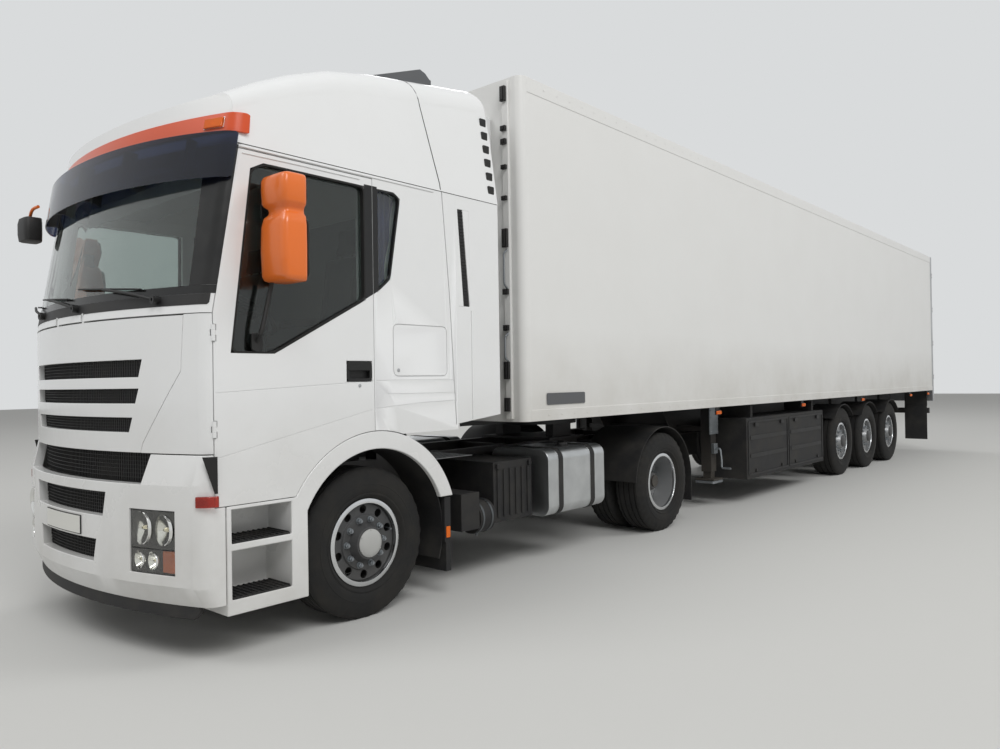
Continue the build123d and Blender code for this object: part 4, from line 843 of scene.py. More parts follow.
# Roof hatch and its deflector: grey where it stands above the roof, round at its rear
hatch = finished["cab_roof"]
prism(beside_axle([(0.6, 4.08), (0.6, 3.948), (0.7, 3.958), (0.8, 3.952), (0.87, 3.93), (0.912, 3.896),
                   (0.945, 3.886), (0.945, 4.08)]), "X", -1.0, 1.0)
carve(hatch)
hatch.data.materials.append(grey_moulding)
for polygon in hatch.data.polygons:
    y = polygon.center.y - front_axle
    beside = 0.83 < abs(polygon.center.x) < 0.865 and abs(polygon.normal.x) > 0.9
    raised = polygon.normal.y < -0.25 or polygon.center.z > 3.795 + 0.16 * (y - 0.35)
    above = abs(polygon.center.x) < 0.865 and polygon.center.z > 3.76 and raised
    if 0.3 < y < 0.96 and (beside or above):
        polygon.material_index = 1

for side, name in sides:
    press_lines(f"door_{name}", side, [[(-1.115, 1.503), (-0.012, 1.558)],
                                       [(-1.108, 1.145), (-0.55, 1.262), (-0.02, 1.372)]], 7, 2.5)
    press_lines("cab_shell", side, [[(0.012, 1.559), (0.15, 1.562), (0.69, 1.56), (0.745, 1.556)],
                                    [(0.012, 1.378), (0.4, 1.402), (0.765, 1.412)],
                                    [(0.12, 1.47), (0.755, 1.468)]], 7, 2.5)
    press_lines("cab_shell", side, [rounded(corners(0.168, 0.672, 1.59, 1.94), 0.045, True)], 6, 9, closed=True)
    press_lines("cab_shell", side, [[(0.64, 2.925), (0.706, 2.18), (0.762, 1.235)]], 9, 16)
    press_lines("side_fairings", side, [[(0.935, 2.07), (0.935, 1.262)]], 7, 9)
    # Drip rails over the door and along the seam, and the seam filler between the cab and its high roof
    face = side * cab_half
    for label, body, path, width, inner, outer, material, edge in (
            ("drip_rail", "tractor", [(-0.955, 2.893), (0.56, 2.893)], 0.008, 0.0002, 0.006, cab_enamel, 2),
            ("door_drip_rail", f"door_{name}", [(-0.935, 2.858), (-0.6, 2.862), (-0.1, 2.862)], 0.007, 0.0002, 0.005,
             cab_enamel, 2),
            ("roof_seam", "tractor", [(-0.96, 2.9095), (1.245, 2.9095)], 0.0045, -0.004, 0.0012, seal_rubber, 0.5)):
        ribbon(beside_axle(path), width, "X", face + side * inner, face + side * outer)
        add_piece(f"{label}_{name}", body, material, edge)
    # Seam where the roof's cap ends, found on the roof's own surface
    path = []
    for k in range(41):
        angle = math.radians(0.6 + 89.4 * k / 40)
        lean = 0.0 if not path else min(path[-1].z - cab_seam, 0.86)
        way = Vector((side * math.cos(angle), 0, math.sin(angle)))
        foot = Vector((0, front_axle + 0.633 - 0.2 * lean, cab_seam - 0.002))
        path.append(roof_surface.ray_cast(foot + way * 3, -way)[0])
    sweep(path, 0.0032, 8)
    add_piece(f"roof_cap_seam_{name}", "tractor", seal_rubber, 0, 50)
    stud([(0.0002, 0.012), (0.003, 0.012), (0.004, 0.01)], (face, front_axle + 0.21, 1.63), 24, side)
    add_piece(f"locker_lock_{name}", "tractor", stainless, 0)

# Steps: black ribbed treads, and the lamp on the front mudguard's edge
for side, name in sides:
    for tread in (0.665, 0.355):
        left, right = sorted((side * (cab_half - 0.238), side * (cab_half - 0.004)))
        front, rear = front_axle - 1.018, front_axle - 0.648
        bar((left, right), (front, rear), (tread + 0.0003, tread + 0.01))
        for k in range(11):
            edge = front + 0.018 + k * 0.034
            bar((left + 0.006, right - 0.006), (edge, edge + 0.01), (tread + 0.01, tread + 0.016))
    add_piece(f"step_treads_{name}", "tractor", black_moulding, 1.2)
    on_cab(side, corners(0.652, 0.69, 0.43, 0.51), 0.006, -0.0148, -0.0078)
    add_piece(f"mudguard_marker_{name}", "tractor", amber_lens, 2)

# Fuel tank: bright metal between two dark straps, with its cap; the boxes ahead of it are black
tanks = finished["side_tanks"]
tanks.data.materials.append(black_moulding)
for polygon in tanks.data.polygons:
    y = polygon.center.y - front_axle
    if y < 1.86 or min(abs(y - 2.05), abs(y - 2.52)) < 0.0305:
        polygon.material_index = 1
for side, name in sides:
    x, y = side * 1.06, front_axle + 2.28
    stud([(0.0002, 0.058), (0.01, 0.058), (0.014, 0.05), (0.016, 0.052), (0.034, 0.051), (0.04, 0.044), (0.041, core)],
         (x, y, 0.96), 36, 1, "Z", {5: 0.003, 6: 0.003})
    bar((x - 0.036, x + 0.036), (y - 0.008, y + 0.008), (1.0005, 1.01))
    add_piece(f"tank_cap_{name}", "tractor", grille_moulding, 1)
    # Battery box's lid with its ribs and catches, and the air tank's straps and drain
    x = side * 1.1003
    for k in range(6):
        y = front_axle + 1.36 + 0.075 * k
        bar((x, x + side * 0.01), (y, y + 0.03), (0.46, 0.84))
    for y in (1.345, 1.745):
        bar((x, x + side * 0.022), (front_axle + y, front_axle + y + 0.035), (0.845, 0.885))
    add_piece(f"battery_lid_{name}", "tractor", black_moulding, 3)
    for y in (1.15, 1.25):
        turned(corners(-0.009, 0.009, 0.1302, 0.134), (side * 1.02, front_axle + y, 0.49), 48, 1, "Y")
    sweep([(side * 1.02, front_axle + 1.2, 0.362), (side * 1.02, front_axle + 1.2, 0.335)], 0.01, 8)
    add_piece(f"air_tank_straps_{name}", "tractor", strap_steel, 0.6)


# Wheels: tyres with grooved treads, rims' bright rings, nuts, caps, valves and brake drums
def tyre_profile(width, radius, grooves):
    """Half of a tyre's section mirrored into a closed one: bead, rim guard, flat sidewall, shoulder and tread."""
    outer = [(width / 2 - inset, r) for inset, r in (
        (0.0385, 0.288), (0.03, 0.2985), (0.019, 0.306), (0.011, 0.316), (0.0105, 0.323), (0.0135, 0.327),
        (0.006, 0.344), (0.0025, 0.362), (0.003, 0.38), (0.0018, 0.3822), (0.0018, 0.3862), (0.004, 0.3884),
        (0.008, 0.41), (0.015, radius - 0.046), (0.02, radius - 0.034), (0.0255, radius - 0.02),
        (0.033, radius - 0.008), (0.043, radius - 0.001), (0.048, radius))]
    for groove in grooves:
        outer += [(groove + 0.0065, radius), (groove + 0.0045, radius - 0.014), (groove - 0.0045, radius - 0.014),
                  (groove - 0.0065, radius)]
    return outer + [(-along, r) for along, r in reversed(outer)]


nut_count, nut_circle = 10, 0.152


def road_wheel(side, label, tyre_name, tread, planes, y, z, profile, lug, half, dish, cap_start, cap_proud, cap_metal,
               drum):
    """A wheel's tyres, and everything on its outer side."""
    count = len(profile)
    shoulder = {index: lug for index in (14, 15, 16, 17, count - 18, count - 17, count - 16, count - 15)}
    for x in planes:
        turned(profile, (side * x, y, z), 144, side, lugs=shoulder)
    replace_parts(add_piece(tread, label, tyre_rubber, 0, 28), tyre_name)
    # The rolled gutter round the rim's outer edge
    centre = (side * planes[-1], y, z)
    turned([(half + out, r) for out, r in ((-0.0205, 0.2565), (0.0062, 0.2565), (0.008, 0.258), (0.008, 0.285),
                                           (0.0066, 0.2872), (0.0062, 0.26), (-0.0205, 0.2575))], centre, 96, side)
    add_piece(f"{label}_ring", label, rim_lip_aluminium, 0, 40)
    # Hexagon nuts on round washers with the studs' ends, and a valve bent out through a hand hole
    face = dish + 0.0122
    for k in range(nut_count):
        angle = 2 * math.pi * k / nut_count
        middle = (centre[0], y + nut_circle * math.cos(angle), z + nut_circle * math.sin(angle))
        for steps, rows in ((20, ((0.0, core), (0.0, 0.0215), (0.004, 0.021), (0.005, core))),
                            (6, ((0.004, core), (0.004, 0.0178), (0.022, 0.0178), (0.025, 0.015), (0.025, core))),
                            (10, ((0.024, core), (0.024, 0.0105), (0.033, 0.01), (0.034, core)))):
            turned([(face + out, r) for out, r in rows], middle, steps, side)
    sweep(rounded([(centre[0] + side * (dish - 0.05), y + 0.218, z + 0.06),
                   (centre[0] + side * (dish + 0.005), y + 0.216, z + 0.06),
                   (centre[0] + side * (dish + 0.035), y + 0.202, z + 0.06)], 0.02), 0.0042, 8)
    turned([(dish + 0.03, core), (dish + 0.03, 0.006), (dish + 0.045, 0.0055), (dish + 0.046, core)],
           (centre[0], y + 0.202, z + 0.06), 10, side)
    add_piece(f"{label}_nuts", label, galvanised, 0, 30)
    # A pressed cap with a raised middle and a ring of small bolts
    radius = 0.092 if cap_start > 0.1 else 0.104
    stud([(cap_start, radius), (cap_start + 0.006, radius), (cap_start + 0.01, radius - 0.006),
          (cap_start + cap_proud * 0.55, radius - 0.012), (cap_start + cap_proud * 0.8, radius - 0.022),
          (cap_start + cap_proud, radius * 0.45)], centre, 40, side)
    for k in range(6):
        angle = 2 * math.pi * (k + 0.5) / 6
        turned([(cap_start + out, r) for out, r in ((0.002, core), (0.002, 0.005), (0.013, 0.005), (0.0135, core))],
               (centre[0], y + (radius - 0.006) * math.cos(angle), z + (radius - 0.006) * math.sin(angle)), 6, side)
    add_piece(f"{label}_cap", label, cap_metal, 1, 30, 1)
    # A ribbed cast drum inside the rim
    start, end = drum
    turned([(start + along, r) for along, r in ((0.0, 0.15), (0.0, 0.218), (0.02, 0.222), (0.025, 0.214), (0.05, 0.214),
                                                (0.055, 0.222), (0.07, 0.222), (0.075, 0.214))]
           + [(end - 0.02, 0.212), (end, 0.195), (end, 0.15)], centre, 48, side)
    add_piece(f"{label}_drum", label, cast_steel, 1, 30, 1)


tractor_profile = tyre_profile(0.315, 0.495, (0.086, 0.03))
trailer_profile = tyre_profile(0.385, 0.525, (0.112, 0.042))
for side, name in sides:
    road_wheel(side, f"front_wheel_{name}", f"front_tyre_{name}", f"front_tread_{name}", (1.02,), front_axle, 0.495,
               tractor_profile, 0.006, 0.1195, 0.095, 0.1652, 0.022, cap_enamel, (-0.105, 0.045))
    road_wheel(side, f"drive_wheel_{name}", f"drive_tyres_{name}", f"drive_treads_{name}", (0.738, 1.083), drive_axle,
               0.495, tractor_profile, 0.009, 0.1195, -0.095, -0.0252, 0.055, dark_wheel_enamel, (-0.36, -0.2))
    for axle, y in enumerate(trailer_axles, 1):
        road_wheel(side, f"trailer_wheel_{name}_{axle}", f"trailer_tyre_{name}_{axle}", f"trailer_tread_{name}_{axle}",
                   (1.0175,), y, 0.525, trailer_profile, 0.003, 0.1545, 0.11, 0.1802, 0.03, dark_wheel_enamel,
                   (-0.1, 0.06))


# Trailer: rails' rivets, the front corners' strips and fittings, marker lamps and the blank plate
for side, name in sides:
    for k in range(64):
        y = trailer_front + 0.3 + k * 0.182
        if y < trailer_rear - 0.15:
            for z in (1.262, 3.932):
                dome((side * (body_half + 0.005), y, z), 0.0065, 0.0022, "X", side)
    add_piece(f"rail_rivets_{name}", "trailer", box_laminate, 0, 60)
    # Front corner: an upright channel with its clips, and two cable loops
    front = trailer_front
    prism([(side * x, front - out) for x, out in ((1.11, 0.0002), (1.11, 0.014), (1.116, 0.02), (1.174, 0.02),
                                                  (1.18, 0.014), (1.18, 0.0002))], "Z", 1.24, 3.96)
    add_piece(f"corner_channel_{name}", "trailer", box_laminate, 1.5)
    left, right = sorted((side * 1.116, side * 1.166))
    for z, high in ((3.8, 0.12), (3.56, 0.04), (3.45, 0.045), (3.25, 0.035), (3.0, 0.035), (2.62, 0.15),
                    (2.24, 0.045), (1.95, 0.045), (1.56, 0.14), (1.3, 0.11)):
        bar((left, right), (front - 0.046, front - 0.0203), (z, z + high))
        bar((left + 0.012, right - 0.012), (front - 0.056, front - 0.046), (z + 0.008, z + high - 0.008))
    add_piece(f"corner_clips_{name}", "trailer", grille_moulding, 2)
    for low, high in ((1.7, 1.93), (2.29, 2.6)):
        sweep(rounded([(side * 1.15, front - out, z) for out, z in
                       ((0.0205, low), (0.06, low + 0.03), (0.06, high - 0.03), (0.0205, high))], 0.02), 0.008, 8)
    add_piece(f"corner_handles_{name}", "trailer", galvanised, 0)
    # Side markers on brackets under the rail, and the blank grey plate near the front
    marker_places = [kingpin + y - 0.065 for y in (1.75, 4.36, 7.02, 10.0, 11.35)]
    for low in marker_places:
        bar((side * 1.262, side * 1.268), (low + 0.02, low + 0.11), (1.135, 1.2155))
        plate(low, low + 0.13, 1.128, 1.178, 0.012, "X", side * 1.2682, side * 1.28)
    add_piece(f"side_marker_bases_{name}", "trailer", grille_moulding, 1)
    for low in marker_places:
        plate(low + 0.006, low + 0.124, 1.134, 1.172, 0.01, "X", side * 1.2802, side * 1.293)
    add_piece(f"side_marker_lenses_{name}", "trailer", amber_lens, 3)
    plate(kingpin - 1.42, kingpin - 0.88, 1.345, 1.441, 0.012, "X",
          side * (body_half + 0.0003), side * (body_half + 0.0022))
    add_piece(f"grey_plate_{name}", "trailer", grey_moulding, 0.5)

# Refrigeration unit: a louvred condenser grille, two service doors with their catches, and small vents
unit_front = kingpin - 2.11
bar((-0.545, 0.545), (unit_front - 0.006, unit_front - 0.0003), (2.86, 3.56))
add_piece("fridge_grille_back", "trailer", grille_moulding, 1)
slat = ((0.0063, 0), (0.026, -0.004), (0.028, 0), (0.0063, 0.016))
for k in range(22):
    z = 2.88 + 0.0305 * k
    prism([(unit_front - out, z + up) for out, up in slat], "X", -0.525, 0.525)
add_piece("fridge_louvres", "trailer", grey_moulding, 0.8)
frame_of(rounded(corners(-0.555, 0.555, 2.85, 3.57), 0.05, True), 0.03, "Y", unit_front - 0.03, unit_front - 0.0003)
for left, right in ((-0.545, -0.01), (0.01, 0.545)):
    plate(left, right, 2.11, 2.8, 0.04, "Y", unit_front - 0.016, unit_front - 0.0003)
add_piece("fridge_doors", "trailer", cab_enamel, 3)
for x in (-0.05, 0.05):
    for z in (2.3, 2.64):
        plate(x - 0.022, x + 0.022, z - 0.045, z + 0.045, 0.01, "Y", unit_front - 0.024, unit_front - 0.0163)
        sweep([(x, unit_front - 0.028, z - 0.03), (x, unit_front - 0.028, z + 0.03)], 0.006, 8)
for x in (-0.475, -0.155, 0.155, 0.475):
    for k in range(7):
        z = 2.17 + 0.026 * k
        bar((x - 0.05, x + 0.05), (unit_front - 0.0185, unit_front - 0.0163), (z, z + 0.01))
add_piece("fridge_catches", "trailer", grille_moulding, 0.8)

# Rear doors: seals, rod guides, handles, hinge straps and the frame's cam keepers
rear = kingpin + 11.76
rod_places = (0.25, 0.82)
for side, name in sides:
    leaf = f"rear_door_{name}"
    outer = rear - 0.005
    frame_of(rounded(corners(side * 0.003, side * 1.233, 1.232, 3.874), 0.02, True), 0.028, "Y",
             outer + 0.0003, outer + 0.008)
    add_piece(f"rear_door_seal_{name}", leaf, seal_rubber, 1)
    for x in rod_places:
        for z in (1.3, 1.76, 2.56, 3.2, 3.79):
            bar((side * x - 0.04, side * x + 0.04), (outer + 0.0003, outer + 0.006), (z - 0.03, z + 0.03))
            plate(side * x - 0.021, side * x + 0.021, outer + 0.006, outer + 0.0255, 0.008, "Z", z - 0.012, z + 0.012)
            for dx in (-0.032, 0.032):
                dome((side * x + dx, outer + 0.006, z), 0.006, 0.004, "Y")
    add_piece(f"rod_guides_{name}", leaf, galvanised, 1, segments=1)
    for x, swing in zip(rod_places, (1, -1)):
        pull = ((0, 0.03, 0), (0.05, 0.034, 0.004), (0.36, 0.034, 0.02), (0.42, 0.03, 0.022))
        sweep(rounded([(side * (x + reach * swing), outer + out, 1.98 - drop) for reach, out, drop in pull], 0.03),
              0.011, 10)
        bar((side * (x + 0.37 * swing), side * (x + 0.45 * swing)), (outer + 0.0003, outer + 0.016), (1.92, 2.0))
        turned(corners(-0.036, 0.036, 0.0145, 0.021), (side * x, outer + 0.009, 1.98), 20, 1, "Z")
    add_piece(f"door_handles_{name}", leaf, stainless, 0)
    for z in (1.45, 2.15, 2.85, 3.56):
        strap = ((1.02, -0.03), (1.231, -0.038), (1.231, 0.038), (1.02, 0.03))
        prism(rounded([(side * x, z + up) for x, up in strap], 0.012, True), "Y", outer + 0.0083, outer + 0.0135)
        for x in (1.05, 1.115, 1.18):
            dome((side * x, outer + 0.0135, z), 0.008, 0.005, "Y", 1, 8)
    add_piece(f"hinge_straps_{name}", leaf, stainless, 1.2)
    for z in (1.22, 3.884):
        for x in rod_places:
            bar((side * x - 0.034, side * x + 0.034), (rear + 0.0003, rear + 0.025), (z - 0.014, z + 0.014))
    add_piece(f"cam_keepers_{name}", "trailer", galvanised, 1)


def lamp_row(body, prefix, name, side, lenses, low, high, inner, outer, edge, ribs=0):
    """Lenses side by side on a lamp's housing, each with fine ribs where asked for."""
    for start, end, lens_material, part in lenses:
        plate(side * start, side * end, low, high, 0.012, "Y", inner, outer)
        for k in range(ribs):
            z = low + 0.014 + 0.018 * k
            bar((side * (start + 0.01), side * (end - 0.01)), (outer, outer + 0.0016), (z, z + 0.006))
        add_piece(f"{prefix}_{part}_lens_{name}", body, lens_material, edge)


# Rear lamps in the lower beam, upper markers, reflectors, spray flaps' ribs and the blank plate
for side, name in sides:
    plate(side * 0.3, side * 0.8, 1.018, 1.186, 0.02, "Y", rear + 0.0003, rear + 0.03)
    add_piece(f"rear_lamp_housing_{name}", "trailer", grille_moulding, 3)
    lamp_row("trailer", "rear", name, side, ((0.315, 0.47, red_lens, "tail"), (0.478, 0.63, amber_lens, "turn"),
                                             (0.638, 0.7, lamp_lens, "reverse"), (0.708, 0.786, red_lens, "fog")),
             1.032, 1.172, rear + 0.0303, rear + 0.042, 1.5, 7)
    plate(side * 1.04, side * 1.16, 3.915, 3.955, 0.01, "Y", rear + 0.0003, rear + 0.016)
    add_piece(f"rear_top_marker_{name}", "trailer", red_lens, 3)
    prism([(side * 0.96, 0.76), (side * 1.13, 0.76), (side * 1.045, 0.845)], "Y", rear - 0.0497, rear - 0.042)
    add_piece(f"rear_reflector_{name}", "trailer", red_lens, 1)
    # Ribs and the blank fold on the rear spray flaps
    flap = rear - 0.3317
    for k in range(13):
        x = 0.85 + 0.03 * k
        bar((side * x, side * (x + 0.01)), (flap, flap + 0.0047), (0.24, 0.86))
    bar((side * 0.822, side * 1.238), (flap, flap + 0.0117), (0.868, 0.898))
    add_piece(f"spray_flap_ribs_{name}", "trailer", black_moulding, 1)
plate(-0.262, 0.262, 1.036, 1.152, 0.01, "Y", rear + 0.0003, rear + 0.006)
add_piece("rear_plate_holder", "trailer", grille_moulding, 1)
plate(-0.256, 0.256, 1.041, 1.147, 0.006, "Y", rear + 0.0063, rear + 0.008)
add_piece("rear_plate", "trailer", plate_enamel, 0.5)

# Chassis: catwalk, frame bolts, rear lamps, brake chambers, bellows, landing gear and the pallet boxes' doors
for side, name in sides:
    bar((side * 0.33, side * 0.9), (front_axle + 0.86, front_axle + 1.29), (0.9515, 0.956))
    for row in range(9):
        for k in range(9):
            x, y = side * (0.37 + 0.06 * row), front_axle + 0.9 + 0.044 * k
            bar((x - 0.012, x + 0.012), (y - 0.003, y + 0.003), (0.956, 0.9585))
add_piece("catwalk_plates", "tractor", floor_aluminium, 0.6, segments=1)
for y in (-0.95, 1.75, 2.35, 3.0, 3.6, 4.3):
    for side, name in sides:
        for z in (0.73, 0.815, 0.9):
            for second in (0, 0.07):
                dome((side * 0.43, front_axle + y + second, z), 0.013, 0.011, "X", side)
add_piece("frame_bolts", "tractor", cast_steel, 0, 60)


def brake_chamber(x, y, z, radius, back, tail_drop, tail, tail_end, step):
    """A clamped pair of pressed shells round a diaphragm, along the vehicle."""
    turned([(-back, core), (-back, radius), (-0.012, radius + 0.012), (-0.012, radius + 0.012 + step),
            (0.012, radius + 0.012 + step), (0.012, radius + 0.012), (tail, radius - tail_drop), (tail_end, core)],
           (x, y, z), 24, 1, "Y")


leg = kingpin + 2.26
for side, name in sides:
    # Tractor's rear lamps behind the drive wheels
    back = front_axle + 4.56
    bar((side * 0.4303, side * 0.56), (back - 0.03, back - 0.014), (0.7, 0.86))
    plate(side * 0.56, side * 0.93, 0.69, 0.85, 0.02, "Y", back - 0.04, back + 0.02)
    add_piece(f"tractor_rear_lamp_{name}", "tractor", grille_moulding, 4)
    lamp_row("tractor", "tractor", name, side, ((0.572, 0.69, red_lens, "tail"), (0.696, 0.81, amber_lens, "turn"),
                                                (0.816, 0.918, red_lens, "fog")),
             0.702, 0.838, back + 0.0203, back + 0.032, 2)
    # Brake chambers, slack adjusters and air bellows
    for centre in trailer_axles:
        for shift, radius in ((-0.075, 0.07), (0.075, 0.055)):
            brake_chamber(side * 0.64, centre - 0.2 + shift, 0.56, radius, 0.07, 0.008, 0.06, 0.068, 0.01)
        bar((side * 0.61, side * 0.67), (centre - 0.085, centre - 0.03), (0.44, 0.57))
        sweep([(side * 0.64, centre - 0.072, 0.56), (side * 0.64, centre - 0.05, 0.5)], 0.011, 8)
    add_piece(f"brake_chambers_{name}", "trailer", cast_steel, 0, 40)
    for centre in trailer_axles:
        for z in (0.662, 0.712, 0.762, 0.812):
            turned([(-0.02, 0.1103), (-0.01, 0.122), (0.0, 0.126), (0.01, 0.122), (0.02, 0.1103)],
                   (side * 0.48, centre + 0.22, z), 32, 1, "Z")
    add_piece(f"air_bellows_{name}", "trailer", seal_rubber, 0, 50)
    for shift, radius in ((-0.085, 0.085), (0.08, 0.07)):
        brake_chamber(side * 0.56, drive_axle - 0.26 + shift, 0.6, radius, 0.075, 0.01, 0.065, 0.074, 0.012)
    add_piece(f"drive_brake_chambers_{name}", "tractor", cast_steel, 0, 40)
    # Landing leg: fixing plate with its bolts, and the foot
    bar((side * 0.965, side * 0.975), (leg - 0.11, leg + 0.11), (0.87, 1.2))
    for y in (-0.08, 0.08):
        for z in (0.9, 0.985, 1.07, 1.155):
            dome((side * 0.975, leg + y, z), 0.013, 0.011, "X", side)
    plate(side * 0.78, side * 1.02, leg - 0.13, leg + 0.13, 0.02, "Z", 0.288, 0.3155)
    add_piece(f"landing_plate_{name}", "trailer", galvanised, 1.5)
    # Pallet boxes: door seams, turn catches, lower locks and two pressed ribs
    face = side * 1.2503
    for low, high in ((kingpin + 2.6, kingpin + 3.86), (kingpin + 3.9, kingpin + 5.17)):
        frame_of(rounded(corners(low, high, 0.35, 1.01), 0.03, True), 0.022, "X", face, face + side * 0.008)
        for y in (low + 0.22, high - 0.22):
            plate(y - 0.05, y + 0.05, 0.94, 0.985, 0.012, "X", face + side * 0.0083, face + side * 0.022)
            stud([(0.0003, 0.02), (0.014, 0.02), (0.016, 0.016)], (face, y, 0.4), 20, side)
        for z in (0.56, 0.78):
            plate(low + 0.06, high - 0.06, z, z + 0.05, 0.02, "X", face, face + side * 0.006)
    add_piece(f"pallet_box_doors_{name}", "trailer", grille_moulding, 2)
    # Trailer guards' rolled edges
    for centre in trailer_axles:
        for x in (0.822, 1.228):
            angles = [math.radians(a) for a in range(42, 139, 6)]
            sweep([(side * x, centre + 0.572 * math.cos(a), 0.525 + 0.572 * math.sin(a)) for a in angles], 0.008, 8)
    add_piece(f"guard_edges_{name}", "trailer", black_moulding, 0, 50)
sweep(rounded([(0.9753, leg - 0.02, 0.7), (1.06, leg - 0.02, 0.7), (1.075, leg - 0.02, 0.56), (1.075, leg - 0.02, 0.47),
               (1.19, leg - 0.02, 0.47)], 0.02), 0.012, 10)
bar((0.9705, 1.005), (leg - 0.07, leg + 0.03), (0.64, 0.76))
add_piece("landing_crank", "trailer", galvanised, 0)

# Far side's kerb mirror on its arm ahead of the right door
soft_loft([(z, -1.28 - dx, -1.48 + dx, front_axle - 1.235 + dy, front_axle - 1.105) for z, dx, dy in
           ((2.66, 0.03, 0.02), (2.668, 0.008, 0.006), (2.72, 0.0, 0.0), (2.8, 0.0, 0.0), (2.838, 0.01, 0.008),
            (2.846, 0.035, 0.024))], 32, 5.0)
add_piece("kerb_mirror", "tractor", grille_moulding, 0, 50)
sweep(rounded([(-1.2, front_axle - 1.17, 2.905), (-1.3, front_axle - 1.18, 2.9), (-1.38, front_axle - 1.17, 2.846)],
              0.05), 0.012, 10)
add_piece("kerb_mirror_arm", "tractor", mirror_orange, 0)


# Cab inside: seats and bunk as padded pieces, curtains as sheets, wheel, dashboard and lining
def cushion_block(name, outline, low, high, rounding, voxel):
    """A closed upholstery blank: a side outline drawn across the cab, remeshed for the cloth solver."""
    across_cab(outline, rounding, low, high)
    done = take_drawing()
    bmesh.ops.recalc_face_normals(done, faces=done.faces)
    piece = from_drawing(name, done)
    round_edges(piece, rounding * 0.8, 3)
    remesh = piece.modifiers.new("remesh", "REMESH")
    remesh.mode = "VOXEL"
    remesh.voxel_size = voxel
    piece.data = evaluated_mesh(piece)
    piece.modifiers.clear()
    return piece


def stuff(piece, pressure, lines, width, limit):
    """Blows a blank up over a few frames, held near its seam lines, and keeps a limited part of the result."""
    start = [v.co.copy() for v in piece.data.vertices]
    group = piece.vertex_groups.new(name="seams")
    held = [v.index for v in piece.data.vertices if any(abs(v.co.x - line) < width for line in lines)]
    group.add(held, 1.0, "REPLACE")
    cloth = piece.modifiers.new("cloth", "CLOTH")
    for key, value in (("quality", 5), ("mass", 0.4), ("tension_stiffness", 12), ("compression_stiffness", 12),
                       ("bending_stiffness", 0.8), ("use_pressure", True), ("uniform_pressure_force", pressure),
                       ("vertex_group_mass", "seams")):
        setattr(cloth.settings, key, value)
    cloth.settings.effector_weights.gravity = 0
    last_frame = 14
    cloth.point_cache.frame_start, cloth.point_cache.frame_end = 1, last_frame
    scene = bpy.context.scene
    for frame_number in range(1, last_frame + 1):
        scene.frame_set(frame_number)
    blown = piece.evaluated_get(bpy.context.evaluated_depsgraph_get())
    ends = [v.co.copy() for v in blown.data.vertices]
    piece.modifiers.clear()
    scene.frame_set(1)
    for vertex, before, after in zip(piece.data.vertices, start, ends):
        move = after - before
        vertex.co = before + move * min(1.0, limit / max(move.length, 1e-9))
    relax = piece.modifiers.new("relax", "SMOOTH")
    relax.factor, relax.iterations = 0.5, 2


def cushion(name, outline, middle, half, seams, width, radius, voxels, pressure, limit):
    piece = cushion_block(name, outline, middle - half, middle + half, radius, voxels[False])
    stuff(piece, pressure, [middle + line for line in seams], width, limit)
    own(piece, "tractor", seat_cloth, 60)
    return piece


for side, name in sides:
    seat_x = side * 0.62
    for part, outline, half, seams, radius in (
            ("seat_cushion", [(-0.275, 1.655), (-0.295, 1.745), (0.165, 1.722), (0.195, 1.665)], 0.24,
             (-0.145, 0.145), 0.045),
            ("seat_back", [(0.13, 1.76), (0.205, 1.715), (0.312, 2.462), (0.248, 2.47)], 0.22, (-0.13, 0.13), 0.03),
            ("head_rest", [(0.258, 2.485), (0.315, 2.48), (0.33, 2.68), (0.286, 2.688)], 0.112, (), 0.025)):
        piece = cushion(f"{part}_{name}", outline, seat_x, half, seams, 0.006, radius, (0.009, 0.014), 3.0, 0.018)
    if side > 0:
        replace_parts(piece, "seats")
    # Frame, shells and knobs under and behind the padding
    for outline, radius, half in (
            ([(-0.235, 1.262), (0.175, 1.262), (0.15, 1.64), (-0.255, 1.64)], 0.03, 0.17),
            ([(-0.3, 1.636), (0.225, 1.612), (0.245, 1.652), (-0.296, 1.66)], 0.012, 0.252),
            ([(0.208, 1.69), (0.226, 1.69), (0.338, 2.47), (0.318, 2.474)], 0.008, 0.205)):
        across_cab(outline, radius, seat_x - half, seat_x + half)
    for x in (-0.06, 0.06):
        sweep([(seat_x + x, front_axle + 0.282, 2.455), (seat_x + x, front_axle + 0.29, 2.52)], 0.008, 8)
    add_piece(f"seat_frame_{name}", "tractor", dash_moulding, 4)
    middle = seat_x - side * 0.262
    across_cab([(-0.115, 1.945), (0.215, 1.985), (0.215, 2.035), (-0.115, 2.0)], 0.02, middle - 0.028, middle + 0.028)
    add_piece(f"arm_rest_{name}", "tractor", dash_moulding, 8)
cushion("bunk_mattress", [(0.372, 1.745), (0.372, 1.865), (0.705, 1.865), (0.705, 1.745)], 0, 1.13,
        (-0.565, 0.0, 0.565), 0.01, 0.035, (0.02, 0.03), 2.5, 0.016)
across_cab([(0.372, 1.262), (0.372, 1.735), (0.71, 1.735), (0.71, 1.262)], 0.015, -1.145, 1.145)
add_piece("bunk_base", "tractor", trim_moulding, 6)

